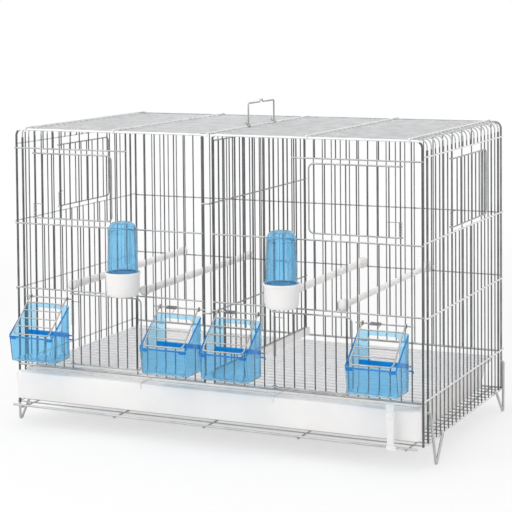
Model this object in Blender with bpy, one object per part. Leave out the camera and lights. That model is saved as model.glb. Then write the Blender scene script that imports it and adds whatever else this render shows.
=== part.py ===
"""Bird breeding cage of welded wire, with a divider, a drawn tray, six sprung doors,
four outside seed cups under wire guards, two drinkers, perches and a folding handle.
Metres, +Z up. The front faces -Y and the cage stands on z = 0."""
import math

import bmesh
import bpy
from mathutils import Vector

# Mesh of the shell
PITCH = 0.015
STEPS_WIDE = 41
SIDE_PITCH = 0.01664
STEPS_DEEP = 21
WIRE_R = 0.00095
RAIL_R = 0.0011
FRAME_R = 0.0016
GAP = 0.0003
WELD = 0.0003
WIRE_SIDES = 4
FRAME_SIDES = 6
SINK_SHARE = 0.3
SHORT_SHARE = 0.06
KINK = 0.004
BEND_R = 0.009
CENTRE_BEND_R = 0.004
BEND_STEPS = 3
ROOF_BEND_STEPS = 1
RAIL_END = 0.0026

# Heights above the ground
TOP_Z = 0.4245
RAIL_A_DROP = 0.0265
RAIL_B_Z = 0.2896
RAIL_C_Z = 0.1966
RAIL_D_Z = 0.0848
GUARD_RAIL_Z = 0.1846
SILL_Z = 0.1325
BASE_Z = 0.0297
SIDE_A_DROP = 0.021
SIDE_B_Z = 0.2925
SIDE_C_Z = 0.1944
SIDE_D_Z = 0.088
BACK_B_Z = 0.291
BACK_C_Z = 0.1977
SIDE_TOP_DROP = 0.013
SIDE_SPLIT_DROP = 0.0016

# Wires at the edges of the openings, counted from the left or from the front
UPPER_LEFT_WIRES = (2, 11)
UPPER_RIGHT_WIRES = (39, 30)
LOWER_LEFT_WIRES = (6, 13)
LOWER_RIGHT_WIRES = (27, 34)
SIDE_DOOR_WIRES = (7, 16)
CUP_WIRES = ((1, 6), (15, 20), (21, 26), (35, 40))
RAIL_A_LEFT_WIRES = (0, 12)
RAIL_A_RIGHT_WIRES = (29, 41)
LEFT_END_WIRE = 20
RIGHT_END_WIRE = 21
GUARD_RAIL_OVERHANG = 0.0025

# Roof and base
ROOF_BAR_INNER_X = 0.1465
ROOF_BAR_OUTER_X = 0.2905
BASE_BAR_INNER_X = 0.140
HOOK_DROP = 0.0028
HOOK_BEND_R = 0.0026
BAR_REAR_OVERHANG = 0.0012
BASE_WIRE_STEP = 3
KICK_REACH = 0.020

# Doors
DOOR_R = 0.0011
DOOR_CORNER_R = 0.007
UPPER_DOOR_Z = (0.2987, 0.391)
LOWER_LEFT_DOOR_LIFT = 0.0077
LOWER_LEFT_DOOR_DROP = 0.0039
LOWER_RIGHT_DOOR_LIFT = 0.0038
LOWER_RIGHT_DOOR_DROP = 0.0066
SIDE_DOOR_Z = (0.2995, 0.392)
UPPER_DOOR_WIDTH = 0.1275
LOWER_DOOR_WIDTH = 0.1125
SIDE_DOOR_WIDTH = 0.1498
CURL_TURN = math.radians(270)
CURL_STEPS = 4

# Door springs, with their curls
SPRING_R = 0.0005
SPRING_SLACK = 0.0005
CURL_POINTS = 8
SPRING_ARM = 0.0165
SPRING_ARM_DROP = 0.003
UPPER_SPRING_Z = (0.3012, 0.319)
LOWER_LEFT_SPRING_Z = (0.147, 0.182)
LOWER_RIGHT_SPRING_Z = (0.129, 0.183)
SIDE_SPRING_Z = (0.302, 0.321)
UPPER_CURLS = 5
LOWER_LEFT_CURLS = 5
LOWER_RIGHT_CURLS = 5
SIDE_CURLS = 3
GUARD_CURLS = 3

# Seed cups and their guards
CUP_WIDTH = 0.071
CUP_REACH = 0.054
CUP_WALL = 0.002
CUP_FLOOR_LIFT = 0.0152
CUP_LIP_Z = 0.1365
CUP_TOP_Z = 0.176
CUP_FRONT_DRAFT = 0.006
CUP_BACK_CLEAR = 0.0037
CUP_WINDOW_WIDTH = 0.043
CUP_WINDOW_Z = (0.137, 0.170)
EAR_Z = (0.1235, 0.1305)
EAR_REACH = 0.006
EAR_THICK = 0.002
GUARD_WIDTH = 0.060
GUARD_R = 0.0010
GUARD_FOOT_Y = 0.0515
GUARD_RUNG_R = 0.00085
GUARD_RUNGS = 4
GUARD_FIRST_RUNG = 0.012
GUARD_SPRING_LENGTH = 0.015
GUARD_SPRING_INSET = 0.0105
GUARD_SPRING_ARM = 0.012

# Drinkers
DRINKER_X = (-0.120, 0.120)
DRINKER_CUP_R = 0.0245
DRINKER_CUP_WALL = 0.0016
DRINKER_CUP_Z = (0.2005, 0.234)
DRINKER_FLOOR = 0.003
SPOUT_WIDTH = 0.0115
SPOUT_REACH = 0.012
SPOUT_ROOT = 0.003
SPOUT_Z = (0.204, 0.222)
SPOUT_WALL = 0.0015
TUBE_R = 0.0214
TUBE_WALL = 0.0016
TUBE_FOOT_HEIGHT = 0.0065
TUBE_Z = (0.226, 0.303)
TUBE_SHOULDER = 0.012
TUBE_NECK_R = 0.012
ROUND_SIDES = 14

# Perches
PERCH_WIRE_SHARES = (88 / 615, 205 / 615, 397.5 / 615, 502.5 / 615)
PERCH_Z = 0.204
PERCH_R = 0.0052
PERCH_THIN_R = 0.0042
PERCH_CAP_R = 0.0068
PERCH_COLLAR_R = 0.0084
PERCH_CAP_LENGTH = 0.009
PERCH_SIDES = 8

# Divider
DIVIDER_TOP_DROP = 0.009
STRIP_LIFT = 0.0022
STRIP_HEIGHT = 0.0115
DIVIDER_STRIP_THICK = 0.005
DIVIDER_RAILS_Z = (0.3307, 0.1805)
DIVIDER_REAR_CLEAR = 0.006
DIVIDER_HOOK_REACH = 0.0035
DIVIDER_HOOK_SIDE = 0.0085
DIVIDER_HOOK_BEND_R = 0.0025

# Tray, floor grille and latch
TRAY_SIDE_CLEAR = 0.008
TRAY_RIM_WIDTH = 0.006
TRAY_RIM_THICK = 0.002
TRAY_WALL = 0.0025
TRAY_FRONT = 0.004
TRAY_REAR_CLEAR = 0.006
TRAY_RIM_DROP = 0.0088
TRAY_DRAFT = 0.008
FASCIA_REACH = 0.013
FASCIA_THICK = 0.0025
FASCIA_INSET = 0.001
FASCIA_LIFT = 0.0085
FASCIA_LIP = 0.0006
GRILLE_SIDE_INSET = 0.001
GRILLE_PITCHES = 20
LATCH_INSET = 0.0295
LATCH_WIDTH = 0.011
LATCH_THICK = 0.003
LATCH_FOOT_DROP = 0.0037
LATCH_OVER = 0.0032
LATCH_PIVOT_R = 0.0045
LATCH_FOOT_WIDTH = 0.0145
LATCH_FOOT_HEIGHT = 0.006

# Feet: places of the upper end, the lowest bend and the inner end, from the front or from the rear
FOOT_R = 0.0019
FOOT_RIGHT_FRONT_Y = (0.010, 0.027, 0.060)
FOOT_REAR_Y = (0.0094, 0.0214, 0.0459)
FOOT_LEFT_FRONT_Y = (0.0055, 0.015, 0.0395)
FOOT_TOP_Z = 0.071
FOOT_SPLAY = 0.002
FOOT_BEND_R = 0.0025
FOOT_FLAT_SHARE = 0.8
FOOT_HOOK = 0.0045

# Handle
HANDLE_WIRES = (8, 13)
HANDLE_RISE = 0.0385
HANDLE_R = 0.0012
HANDLE_BEND_R = 0.010
RING_STEPS = 8

# Places worked out from the sizes above
HALF_WIDTH = PITCH * STEPS_WIDE / 2
RAIL_A_Z = TOP_Z - RAIL_A_DROP
SIDE_A_Z = TOP_Z - SIDE_A_DROP
DIVIDER_TOP_Z = TOP_Z - DIVIDER_TOP_DROP
HANDLE_TOP_Z = TOP_Z + HANDLE_RISE
TRAY_RIM_Z = RAIL_D_Z - TRAY_RIM_DROP
LOWER_LEFT_DOOR_Z = (RAIL_D_Z + LOWER_LEFT_DOOR_LIFT, RAIL_C_Z - LOWER_LEFT_DOOR_DROP)
LOWER_RIGHT_DOOR_Z = (RAIL_D_Z + LOWER_RIGHT_DOOR_LIFT, RAIL_C_Z - LOWER_RIGHT_DOOR_DROP)
CUP_FLOOR_Z = RAIL_D_Z + CUP_FLOOR_LIFT
TRAY_HALF_WIDTH = HALF_WIDTH - TRAY_SIDE_CLEAR
LATCH_X = TRAY_HALF_WIDTH - LATCH_INSET
LATCH_FOOT_Z = BASE_Z - LATCH_FOOT_DROP
FASCIA_HALF_WIDTH = HALF_WIDTH - FASCIA_INSET
STRIP_Z = RAIL_D_Z + STRIP_LIFT
SIDE_SPLIT_Z = SIDE_B_Z - SIDE_SPLIT_DROP
LATCH_TOP_Z = RAIL_D_Z + LATCH_OVER
DEPTH = SIDE_PITCH * STEPS_DEEP
RAIL_OUT = WIRE_R + GAP + RAIL_R
REAR_REACH = RAIL_OUT + RAIL_R
FOOT_BACK_Y = tuple(DEPTH - near for near in FOOT_REAR_Y)
FRONT_Y = CUP_REACH - (CUP_REACH + DEPTH + REAR_REACH) / 2
BACK_Y = FRONT_Y + DEPTH
STUB_OUT = GAP + WELD
FLUSH = FRAME_R - WIRE_R
SIDE_RAIL_OUT = FRAME_R + GAP + RAIL_R
SIDE_A_OUT = FLUSH + WIRE_R + RAIL_R - WELD
ROOF_BAR_UP = FRAME_R + GAP + RAIL_R
CENTRE_BAR_UP = FLUSH + WIRE_R + RAIL_R - WELD
CURL_R = WIRE_R + GAP + DOOR_R
TRAY_FLOOR_Z = BASE_Z + FRAME_R + GAP
GRILLE_Z = TRAY_RIM_Z + FASCIA_LIP + GAP + FRAME_R
SIDE_TOP_Z = TOP_Z - SIDE_TOP_DROP
GUARD_RAIL_OUT = WIRE_R + RAIL_R - WELD
GUARD_HINGE_Y = FRONT_Y - GUARD_RAIL_OUT
CUP_SLOPE = (CUP_TOP_Z - CUP_LIP_Z) / (CUP_REACH - CUP_BACK_CLEAR)
GUARD_LIFT = (GAP + GUARD_R) * math.sqrt(1 + CUP_SLOPE ** 2)
GUARD_FOOT_Z = CUP_LIP_Z + CUP_SLOPE * (CUP_REACH - GUARD_FOOT_Y) + GUARD_LIFT
HANDLE_AXIS_Z = TOP_Z + CENTRE_BAR_UP
TUBE_FOOT_R = DRINKER_CUP_R - DRINKER_CUP_WALL - GAP
LATCH_Y = FRONT_Y - KICK_REACH - FRAME_R - GAP - LATCH_THICK


def wire_x(index):
    """Place along X of a wire of the front or back mesh."""
    return -HALF_WIDTH + index * PITCH


def on_front(along, out, z):
    return Vector((along, FRONT_Y - out, z))


def on_back(along, out, z):
    return Vector((along, BACK_Y + out, z))


def on_left(along, out, z):
    return Vector((-HALF_WIDTH - out, FRONT_Y + along, z))


def on_right(along, out, z):
    return Vector((HALF_WIDTH + out, FRONT_Y + along, z))


def clear_scene():
    for thing in list(bpy.data.objects):
        bpy.data.objects.remove(thing, do_unlink=True)


def material(name, color, metallic, roughness, alpha=1.0):
    made = bpy.data.materials.new(name)
    made.use_nodes = True
    shader = made.node_tree.nodes["Principled BSDF"]
    shader.inputs["Base Color"].default_value = (*color, 1.0)
    shader.inputs["Metallic"].default_value = metallic
    shader.inputs["Roughness"].default_value = roughness
    shader.inputs["Alpha"].default_value = alpha
    return made


def rounded(points, radius, steps=BEND_STEPS):
    """The same route with an arc in place of each inner corner."""
    route = [Vector(p) for p in points]
    made = [route[0]]
    for before, corner, after in zip(route, route[1:], route[2:]):
        back = (before - corner).normalized()
        ahead = (after - corner).normalized()
        half = back.angle(ahead) / 2
        reach = radius / math.tan(half)
        centre = corner + (back + ahead).normalized() * radius / math.sin(half)
        start = corner + back * reach - centre
        end = corner + ahead * reach - centre
        sweep_angle = start.angle(end)
        for step in range(steps + 1):
            part = step / steps
            first = math.sin((1 - part) * sweep_angle) / math.sin(sweep_angle)
            last = math.sin(part * sweep_angle) / math.sin(sweep_angle)
            made.append(centre + start * first + end * last)
    made.append(route[-1])
    return made


def tube(points, radius, sides=WIRE_SIDES, hint=(0, 1, 0), radii=None):
    """A closed tube along the points, with its first corner turned to the hint."""
    route = [Vector(p) for p in points]
    body = bmesh.new()
    side = Vector(hint)
    rings = []
    for index, point in enumerate(route):
        tangent = Vector()
        if index > 0:
            tangent += (point - route[index - 1]).normalized()
        if index < len(route) - 1:
            tangent += (route[index + 1] - point).normalized()
        tangent.normalize()
        if side.cross(tangent).length < SINK_SHARE:
            side = Vector((tangent.z, tangent.x, tangent.y))
        side = (side - tangent * side.dot(tangent)).normalized()
        across = tangent.cross(side)
        ring_r = radii[index] if radii else radius
        ring = []
        for corner in range(sides):
            turn = math.tau * corner / sides
            place = point + (side * math.cos(turn) + across * math.sin(turn)) * ring_r
            ring.append(body.verts.new(place))
        rings.append(ring)
    skin_rings(body, rings)
    return body


def skin_rings(body, rings):
    """Faces between rings of one count, with both ends closed."""
    for low, high in zip(rings, rings[1:]):
        for corner in range(len(low)):
            after = (corner + 1) % len(low)
            body.faces.new((low[corner], low[after], high[after], high[corner]))
    body.faces.new(list(reversed(rings[0])))
    body.faces.new(rings[-1])
    bmesh.ops.recalc_face_normals(body, faces=body.faces)


def loft(outlines):
    """A closed solid through outlines of one count of points."""
    body = bmesh.new()
    rings = [[body.verts.new(p) for p in outline] for outline in outlines]
    skin_rings(body, rings)
    return body


def block(low, high):
    outlines = []
    for z in (low[2], high[2]):
        corners = ((low[0], low[1]), (high[0], low[1]), (high[0], high[1]), (low[0], high[1]))
        outlines.append([(x, y, z) for x, y in corners])
    return loft(outlines)


def turned(profile, centre, sides=ROUND_SIDES):
    """A solid turned about Z from pairs of radius and height."""
    outlines = []
    for radius, height in profile:
        ring = []
        for corner in range(sides):
            turn = math.tau * corner / sides
            ring.append((centre[0] + radius * math.cos(turn), centre[1] + radius * math.sin(turn), height))
        outlines.append(ring)
    return loft(outlines)


def as_object(name, body):
    mesh = bpy.data.meshes.new(name)
    body.to_mesh(mesh)
    body.free()
    made = bpy.data.objects.new(name, mesh)
    bpy.context.scene.collection.objects.link(made)
    return made


def joined(name, bodies, operation="UNION"):
    """One closed body out of several, by an exact Boolean."""
    base = as_object(name, bodies[0])
    if len(bodies) == 1:
        return base
    tools = bpy.data.collections.new(name + "_tools")
    bpy.context.scene.collection.children.link(tools)
    for index, body in enumerate(bodies[1:]):
        tool = as_object(name + "_tool_" + str(index), body)
        bpy.context.scene.collection.objects.unlink(tool)
        tools.objects.link(tool)
    cut = base.modifiers.new("join", "BOOLEAN")
    cut.operation = operation
    cut.solver = "EXACT"
    cut.operand_type = "COLLECTION"
    cut.collection = tools
    graph = bpy.context.evaluated_depsgraph_get()
    result = bpy.data.meshes.new_from_object(base.evaluated_get(graph))
    base.modifiers.clear()
    base.data = result
    for tool in list(tools.objects):
        bpy.data.objects.remove(tool, do_unlink=True)
    bpy.data.collections.remove(tools)
    return base


def cut_away(made, body):
    """Takes a closed body out of an object."""
    tool = as_object("cutter", body)
    cut = made.modifiers.new("cut", "BOOLEAN")
    cut.operation = "DIFFERENCE"
    cut.solver = "EXACT"
    cut.object = tool
    graph = bpy.context.evaluated_depsgraph_get()
    result = bpy.data.meshes.new_from_object(made.evaluated_get(graph))
    made.modifiers.clear()
    made.data = result
    bpy.data.objects.remove(tool, do_unlink=True)
    return made


def finish(made, look, origin=(0, 0, 0)):
    """Gives a piece its material, smooth shading and an origin on its joint."""
    made.data.materials.clear()
    made.data.materials.append(look)
    made.data.shade_smooth()
    made.data.set_sharp_from_angle(angle=math.radians(50))
    place = Vector(origin)
    for vertex in made.data.vertices:
        vertex.co -= place
    made.location = place
    return made


def upright(place, along, out, low, high, radius=WIRE_R, sides=WIRE_SIDES):
    """A straight wire up a panel."""
    return tube([place(along, out, low), place(along, out, high)], radius, sides, (1, 1, 0))


def rail(place, start, end, out, z, radius=RAIL_R, sides=WIRE_SIDES):
    """A straight wire along a panel."""
    return tube([place(start, out, z), place(end, out, z)], radius, sides, (0, 0, 1))


def runs(index, low, high, openings):
    """Stretches of a wire that are left between the openings it meets."""
    left = [(low, high)]
    for first, last, bottom, top in openings:
        if not min(first, last) < index < max(first, last):
            continue
        cut = []
        for start, end in left:
            if bottom >= end or top <= start:
                cut.append((start, end))
                continue
            if bottom - start > KINK:
                cut.append((start, bottom))
            if end - top > KINK:
                cut.append((top, end))
        left = cut
    return left


def mesh_wire(place, along, out, ends, limits, radius=WIRE_R):
    """An upright of a mesh, bent out to meet the rail where an opening cuts it short."""
    low, high = ends
    points = [place(along, out, limits[0]), place(along, out, limits[1])]
    if low > limits[0]:
        start = low - RAIL_R * SINK_SHARE
        points[0:1] = [place(along, out + STUB_OUT, start), place(along, out, low + KINK)]
    if high < limits[1]:
        end = high + RAIL_R * SINK_SHARE
        points[-1:] = [place(along, out, high - KINK), place(along, out + STUB_OUT, end)]
    return tube(points, radius)


def front_openings():
    made = [(*UPPER_LEFT_WIRES, RAIL_B_Z, RAIL_A_Z), (*UPPER_RIGHT_WIRES, RAIL_B_Z, RAIL_A_Z)]
    made.append((*LOWER_LEFT_WIRES, RAIL_D_Z, RAIL_C_Z))
    made.append((*LOWER_RIGHT_WIRES, RAIL_D_Z, RAIL_C_Z))
    for first, last in CUP_WIRES:
        made.append((first + 1, last, SILL_Z, RAIL_C_Z))
    return made


def front_half(name, outer, inner, rail_a, cups, look):
    """One half of the front: a frame wire bent over its corner, mesh wires and rails."""
    toward = 1 if inner > outer else -1
    outer_x = wire_x(outer)
    inner_x = wire_x(inner)
    sink = FRAME_R * SINK_SHARE
    corner = [on_front(outer_x, 0, BASE_Z - FRAME_R), on_front(outer_x, 0, TOP_Z), on_front(0, 0, TOP_Z)]
    centre = [on_front(outer_x, 0, TOP_Z), on_front(inner_x, 0, TOP_Z)]
    centre.append(on_front(inner_x, 0, RAIL_D_Z - sink))
    frame = rounded(corner, BEND_R)[:-1] + rounded(centre, CENTRE_BEND_R)[1:]
    bodies = [tube(frame, FRAME_R, FRAME_SIDES)]
    bodies.append(rail(on_front, outer_x, inner_x + toward * sink, 0, RAIL_D_Z, FRAME_R, FRAME_SIDES))
    for first, last, z in ((outer, inner, RAIL_B_Z), (outer, inner, RAIL_C_Z), (*rail_a, RAIL_A_Z)):
        ends = sorted((wire_x(first), wire_x(last)))
        bodies.append(rail(on_front, ends[0], ends[1], RAIL_OUT, z))
    for first, last in cups:
        start = wire_x(first) - GUARD_RAIL_OVERHANG
        end = wire_x(last) + GUARD_RAIL_OVERHANG
        bodies.append(rail(on_front, start, end, GUARD_RAIL_OUT, GUARD_RAIL_Z))
        bodies.append(rail(on_front, start + PITCH, end, RAIL_OUT, SILL_Z))
    limits = (RAIL_D_Z - sink, TOP_Z + sink)
    for index in range(min(outer, inner) + 1, max(outer, inner)):
        for ends in runs(index, limits[0], limits[1], front_openings()):
            bodies.append(mesh_wire(on_front, wire_x(index), 0, ends, limits))
    return finish(joined(name, bodies), look)


def back_panel(look):
    sink = FRAME_R * SINK_SHARE
    route = [on_back(-HALF_WIDTH, 0, BASE_Z - FRAME_R), on_back(-HALF_WIDTH, 0, TOP_Z)]
    route += [on_back(HALF_WIDTH, 0, TOP_Z), on_back(HALF_WIDTH, 0, BASE_Z - FRAME_R)]
    bodies = [tube(rounded(route, BEND_R), FRAME_R, FRAME_SIDES)]
    bodies.append(rail(on_back, -HALF_WIDTH, HALF_WIDTH, 0, RAIL_D_Z, FRAME_R, FRAME_SIDES))
    for z in (BACK_B_Z, BACK_C_Z):
        bodies.append(rail(on_back, -HALF_WIDTH, HALF_WIDTH, RAIL_OUT, z))
    for index in range(1, STEPS_WIDE):
        bodies.append(upright(on_back, wire_x(index), 0, RAIL_D_Z - sink, TOP_Z + sink))
    return finish(joined("back_mesh", bodies), look)


def side_panel(name, place, look):
    """The lower part of a side: uprights and the rails outside them."""
    inset = FRAME_R + GAP
    bodies = [rail(place, inset, DEPTH - inset, SIDE_A_OUT, BASE_Z)]
    for z in (SIDE_C_Z, SIDE_D_Z):
        bodies.append(rail(place, -RAIL_END, DEPTH + RAIL_END, SIDE_RAIL_OUT, z))
    limits = (BASE_Z - RAIL_R * SINK_SHARE, SIDE_SPLIT_Z - GAP)
    for index in range(1, STEPS_DEEP):
        radius = FRAME_R if index in (1, STEPS_DEEP - 1) else WIRE_R
        bodies.append(mesh_wire(place, index * SIDE_PITCH, FLUSH, limits, limits, radius))
    return finish(joined(name, bodies), look)


def side_top(name, place, look):
    """The upper part of a side, round the opening of the side door."""
    inset = FRAME_R + GAP
    bodies = [rail(place, -RAIL_END, DEPTH + RAIL_END, SIDE_RAIL_OUT, SIDE_B_Z)]
    bodies.append(rail(place, inset, DEPTH - inset, SIDE_A_OUT, SIDE_A_Z))
    opening = [(*SIDE_DOOR_WIRES, SIDE_B_Z, SIDE_A_Z)]
    limits = (SIDE_SPLIT_Z, SIDE_TOP_Z)
    for index in range(1, STEPS_DEEP):
        radius = FRAME_R if index in (1, STEPS_DEEP - 1) else WIRE_R
        for ends in runs(index, limits[0], limits[1], opening):
            bodies.append(mesh_wire(place, index * SIDE_PITCH, FLUSH, ends, limits, radius))
    return finish(joined(name, bodies), look)


def roof_bar(x, up, rear):
    route = [(x, rear, TOP_Z + up), (x, FRONT_Y - ROOF_BAR_UP, TOP_Z + up)]
    route.append((x, FRONT_Y - ROOF_BAR_UP, TOP_Z - HOOK_DROP))
    return tube(rounded(route, HOOK_BEND_R), RAIL_R, WIRE_SIDES, (1, 0, 0))


def roof(look):
    rear = BACK_Y - FRAME_R - GAP
    bodies = [roof_bar(0, CENTRE_BAR_UP, rear)]
    side = HALF_WIDTH + FLUSH
    for index in range(1, STEPS_DEEP):
        y = FRONT_Y + index * SIDE_PITCH
        route = [(-side, y, SIDE_TOP_Z + GAP), (-side, y, TOP_Z + FLUSH)]
        route += [(side, y, TOP_Z + FLUSH), (side, y, SIDE_TOP_Z + GAP)]
        bodies.append(tube(rounded(route, BEND_R, ROOF_BEND_STEPS), WIRE_R))
    finish(joined("roof_mesh", bodies), look)
    places = ((1, -ROOF_BAR_OUTER_X), (2, -ROOF_BAR_INNER_X), (4, ROOF_BAR_INNER_X), (5, ROOF_BAR_OUTER_X))
    for number, x in places:
        bar = as_object("roof_bar_" + str(number), roof_bar(x, ROOF_BAR_UP, BACK_Y + BAR_REAR_OVERHANG))
        finish(bar, look)


def base(look):
    half = HALF_WIDTH - FRAME_R - GAP
    under = BASE_Z - RAIL_OUT
    bodies = []
    for y in (FRONT_Y - KICK_REACH, BACK_Y):
        bodies.append(tube([(-half, y, BASE_Z), (half, y, BASE_Z)], FRAME_R, FRAME_SIDES, (0, 0, 1)))
    for index in range(0, STEPS_DEEP, BASE_WIRE_STEP):
        y = FRONT_Y + index * SIDE_PITCH
        bodies.append(tube([(-half, y, BASE_Z), (half, y, BASE_Z)], WIRE_R))
    for x in (-ROOF_BAR_OUTER_X, -BASE_BAR_INNER_X, 0, BASE_BAR_INNER_X, ROOF_BAR_OUTER_X):
        z = under + (GAP + WELD if x == 0 else 0)
        bodies.append(tube([(x, FRONT_Y - KICK_REACH - FRAME_R, z), (x, BACK_Y + FRAME_R, z)], RAIL_R))
    return finish(joined("base_mesh", bodies), look)


def door(name, place, hinge, width, heights, step, look):
    """A wire door whose two cross wires curl round the hinge wire of the mesh."""
    low, high = heights
    way = 1 if width > 0 else -1

    def curl(z):
        made = []
        for index in range(CURL_STEPS + 1):
            turn = CURL_TURN * (1 - index / CURL_STEPS)
            made.append(place(hinge - way * CURL_R * math.sin(turn), CURL_R * math.cos(turn), z))
        return made

    corners = [place(hinge, CURL_R, high), place(hinge + width, CURL_R, high)]
    corners += [place(hinge + width, CURL_R, low), place(hinge, CURL_R, low)]
    route = curl(high) + rounded(corners, DOOR_CORNER_R)[1:-1] + list(reversed(curl(low)))
    bodies = [tube(route, DOOR_R, WIRE_SIDES, (0, 0, 1))]
    short = DOOR_R * SHORT_SHARE
    count = int((abs(width) - DOOR_R) / step)
    for index in range(1, count + 1):
        along = hinge + way * index * step
        bodies.append(upright(place, along, CURL_R, low + short, high - short))
    axis = place(hinge, 0, (low + high) / 2)
    return finish(joined(name, bodies), look, axis)


def spring(name, frame_of, length, curls, inner_r, arm, look, origin):
    """A sprung wire wound round a hinge wire, with the arm that bears on its door."""
    radius = inner_r + SPRING_SLACK + SPRING_R
    rise = length / curls
    centres = []
    for index in range(curls * CURL_POINTS + 1):
        turn = math.tau * index / CURL_POINTS
        centres.append((radius * math.sin(turn), radius * math.cos(turn), rise * index / CURL_POINTS))
    points = centres + [(arm, radius + SPRING_ARM_DROP, length)]
    least = min(
        (Vector(a) - Vector(b)).length
        for first, a in enumerate(centres)
        for b in centres[first + CURL_POINTS - 1:]
    )
    print("LEAST SELF GAP mm", name, round((least - SPRING_R * 2) * 1000, 2))
    made = as_object(name, tube([frame_of(*p) for p in points], SPRING_R, FRAME_SIDES, (0, 0, 1)))
    return finish(made, look, origin)


def front_doors(wire, steel):
    doors = (
        ("upper_left", UPPER_LEFT_WIRES, UPPER_DOOR_WIDTH, UPPER_DOOR_Z, UPPER_SPRING_Z, UPPER_CURLS),
        ("upper_right", UPPER_RIGHT_WIRES, -UPPER_DOOR_WIDTH, UPPER_DOOR_Z, UPPER_SPRING_Z, UPPER_CURLS),
        ("lower_left", LOWER_LEFT_WIRES, LOWER_DOOR_WIDTH, LOWER_LEFT_DOOR_Z, LOWER_LEFT_SPRING_Z,
         LOWER_LEFT_CURLS),
        ("lower_right", LOWER_RIGHT_WIRES, LOWER_DOOR_WIDTH, LOWER_RIGHT_DOOR_Z, LOWER_RIGHT_SPRING_Z,
         LOWER_RIGHT_CURLS),
    )
    for name, wires, width, heights, spring_z, curls in doors:
        hinge = wire_x(wires[0])
        door("door_" + name, on_front, hinge, width, heights, PITCH, wire)
        add_spring(name, on_front, hinge, width, spring_z, curls, steel)
    for name, place in (("left", on_left), ("right", on_right)):
        hinge = SIDE_DOOR_WIRES[0] * SIDE_PITCH
        shifted = flush_place(place)
        door("side_door_" + name, shifted, hinge, SIDE_DOOR_WIDTH, SIDE_DOOR_Z, SIDE_PITCH, wire)
        add_spring("side_" + name, shifted, hinge, SIDE_DOOR_WIDTH, SIDE_SPRING_Z, SIDE_CURLS, steel)


def flush_place(place):
    """A side's wires stand a little further out than its plane."""
    return lambda along, out, z: place(along, out + FLUSH, z)


def add_spring(name, place, hinge, width, heights, curls, look):
    way = 1 if width > 0 else -1
    low, high = heights

    def frame_of(along, out, up):
        return place(hinge + way * along, out, low + up)

    origin = place(hinge, 0, (low + high) / 2)
    spring("spring_" + name, frame_of, high - low, curls, WIRE_R, SPRING_ARM, look, origin)


def seed_cup(number, x, look):
    """A seed cup with sloping sides, a window in its back and an ear at the right."""
    half = CUP_WIDTH / 2
    back = FRONT_Y - CUP_BACK_CLEAR
    front = FRONT_Y - CUP_REACH

    def outline(side, inset, low):
        slope = (CUP_TOP_Z - CUP_LIP_Z) / (front - back)
        lip = CUP_LIP_Z + (CUP_WALL if low else 0)
        top = CUP_TOP_Z + (CUP_WALL if low else 0)
        floor = CUP_FLOOR_Z + (CUP_WALL if low else 0)
        made = [(x + side, front + CUP_FRONT_DRAFT + inset, floor), (x + side, back - inset, floor)]
        made.append((x + side, back - inset, top - slope * inset))
        made.append((x + side, front + inset, lip - slope * inset))
        return made

    outer = loft([outline(-half, 0, False), outline(half, 0, False)])
    name = "feeder_" + str(number)
    ear_low = (x + half - CUP_WALL, back - EAR_THICK, EAR_Z[0])
    ear_high = (x + half + EAR_REACH, back + EAR_THICK, EAR_Z[1])
    made = joined(name, [outer, block(ear_low, ear_high)])
    inner = half - CUP_WALL
    cut_away(made, loft([outline(side, CUP_WALL, True) for side in (-inner, inner)]))
    window = CUP_WINDOW_WIDTH / 2
    low = (x - window, back - CUP_WALL - GAP, CUP_WINDOW_Z[0])
    cut_away(made, block(low, (x + window, back + CUP_WALL, CUP_WINDOW_Z[1])))
    return finish(made, look)


def guard(number, x, look, steel):
    """A wire guard that hangs from its own rail and rests on the lip of the cup."""
    half = GUARD_WIDTH / 2
    axis = Vector((x, GUARD_HINGE_Y, GUARD_RAIL_Z))
    foot = Vector((x, FRONT_Y - GUARD_FOOT_Y, GUARD_FOOT_Z))
    ring_r = RAIL_R + GAP + GUARD_R
    length = math.sqrt((foot - axis).length_squared - ring_r ** 2)
    straight = (foot - axis).normalized()
    lift = Vector((0, straight.z, -straight.y))
    ahead = (straight * length - lift * ring_r).normalized()
    up = Vector((0, ahead.z, -ahead.y))

    def spot(along, away, raised):
        return axis + Vector((along, 0, 0)) + ahead * away + up * raised

    def curl(along):
        made = []
        for index in range(CURL_STEPS + 1):
            turn = CURL_TURN * (1 - index / CURL_STEPS)
            made.append(spot(along, -ring_r * math.sin(turn), ring_r * math.cos(turn)))
        return made

    corners = [spot(-half, along, ring_r) for along in (0, length)]
    corners += [spot(half, along, ring_r) for along in (length, 0)]
    route = curl(-half) + rounded(corners, DOOR_CORNER_R)[1:-1] + list(reversed(curl(half)))
    bodies = [tube(route, GUARD_R, WIRE_SIDES, (1, 0, 0))]
    short = half - GUARD_R * SHORT_SHARE
    for index in range(1, GUARD_RUNGS + 1):
        away = GUARD_FIRST_RUNG + (length - GUARD_FIRST_RUNG) * (index - 1) / GUARD_RUNGS
        ends = [spot(-short, away, ring_r), spot(short, away, ring_r)]
        bodies.append(tube(ends, GUARD_RUNG_R, WIRE_SIDES, up + ahead))
    finish(joined("guard_" + str(number), bodies), look, axis)
    if number == 1:
        return
    start = -half + GUARD_SPRING_INSET

    def frame_of(along, out, rise):
        return spot(start + rise, along, out)

    spring("guard_spring_" + str(number), frame_of, GUARD_SPRING_LENGTH, GUARD_CURLS, RAIL_R,
           GUARD_SPRING_ARM, steel, axis)


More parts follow.
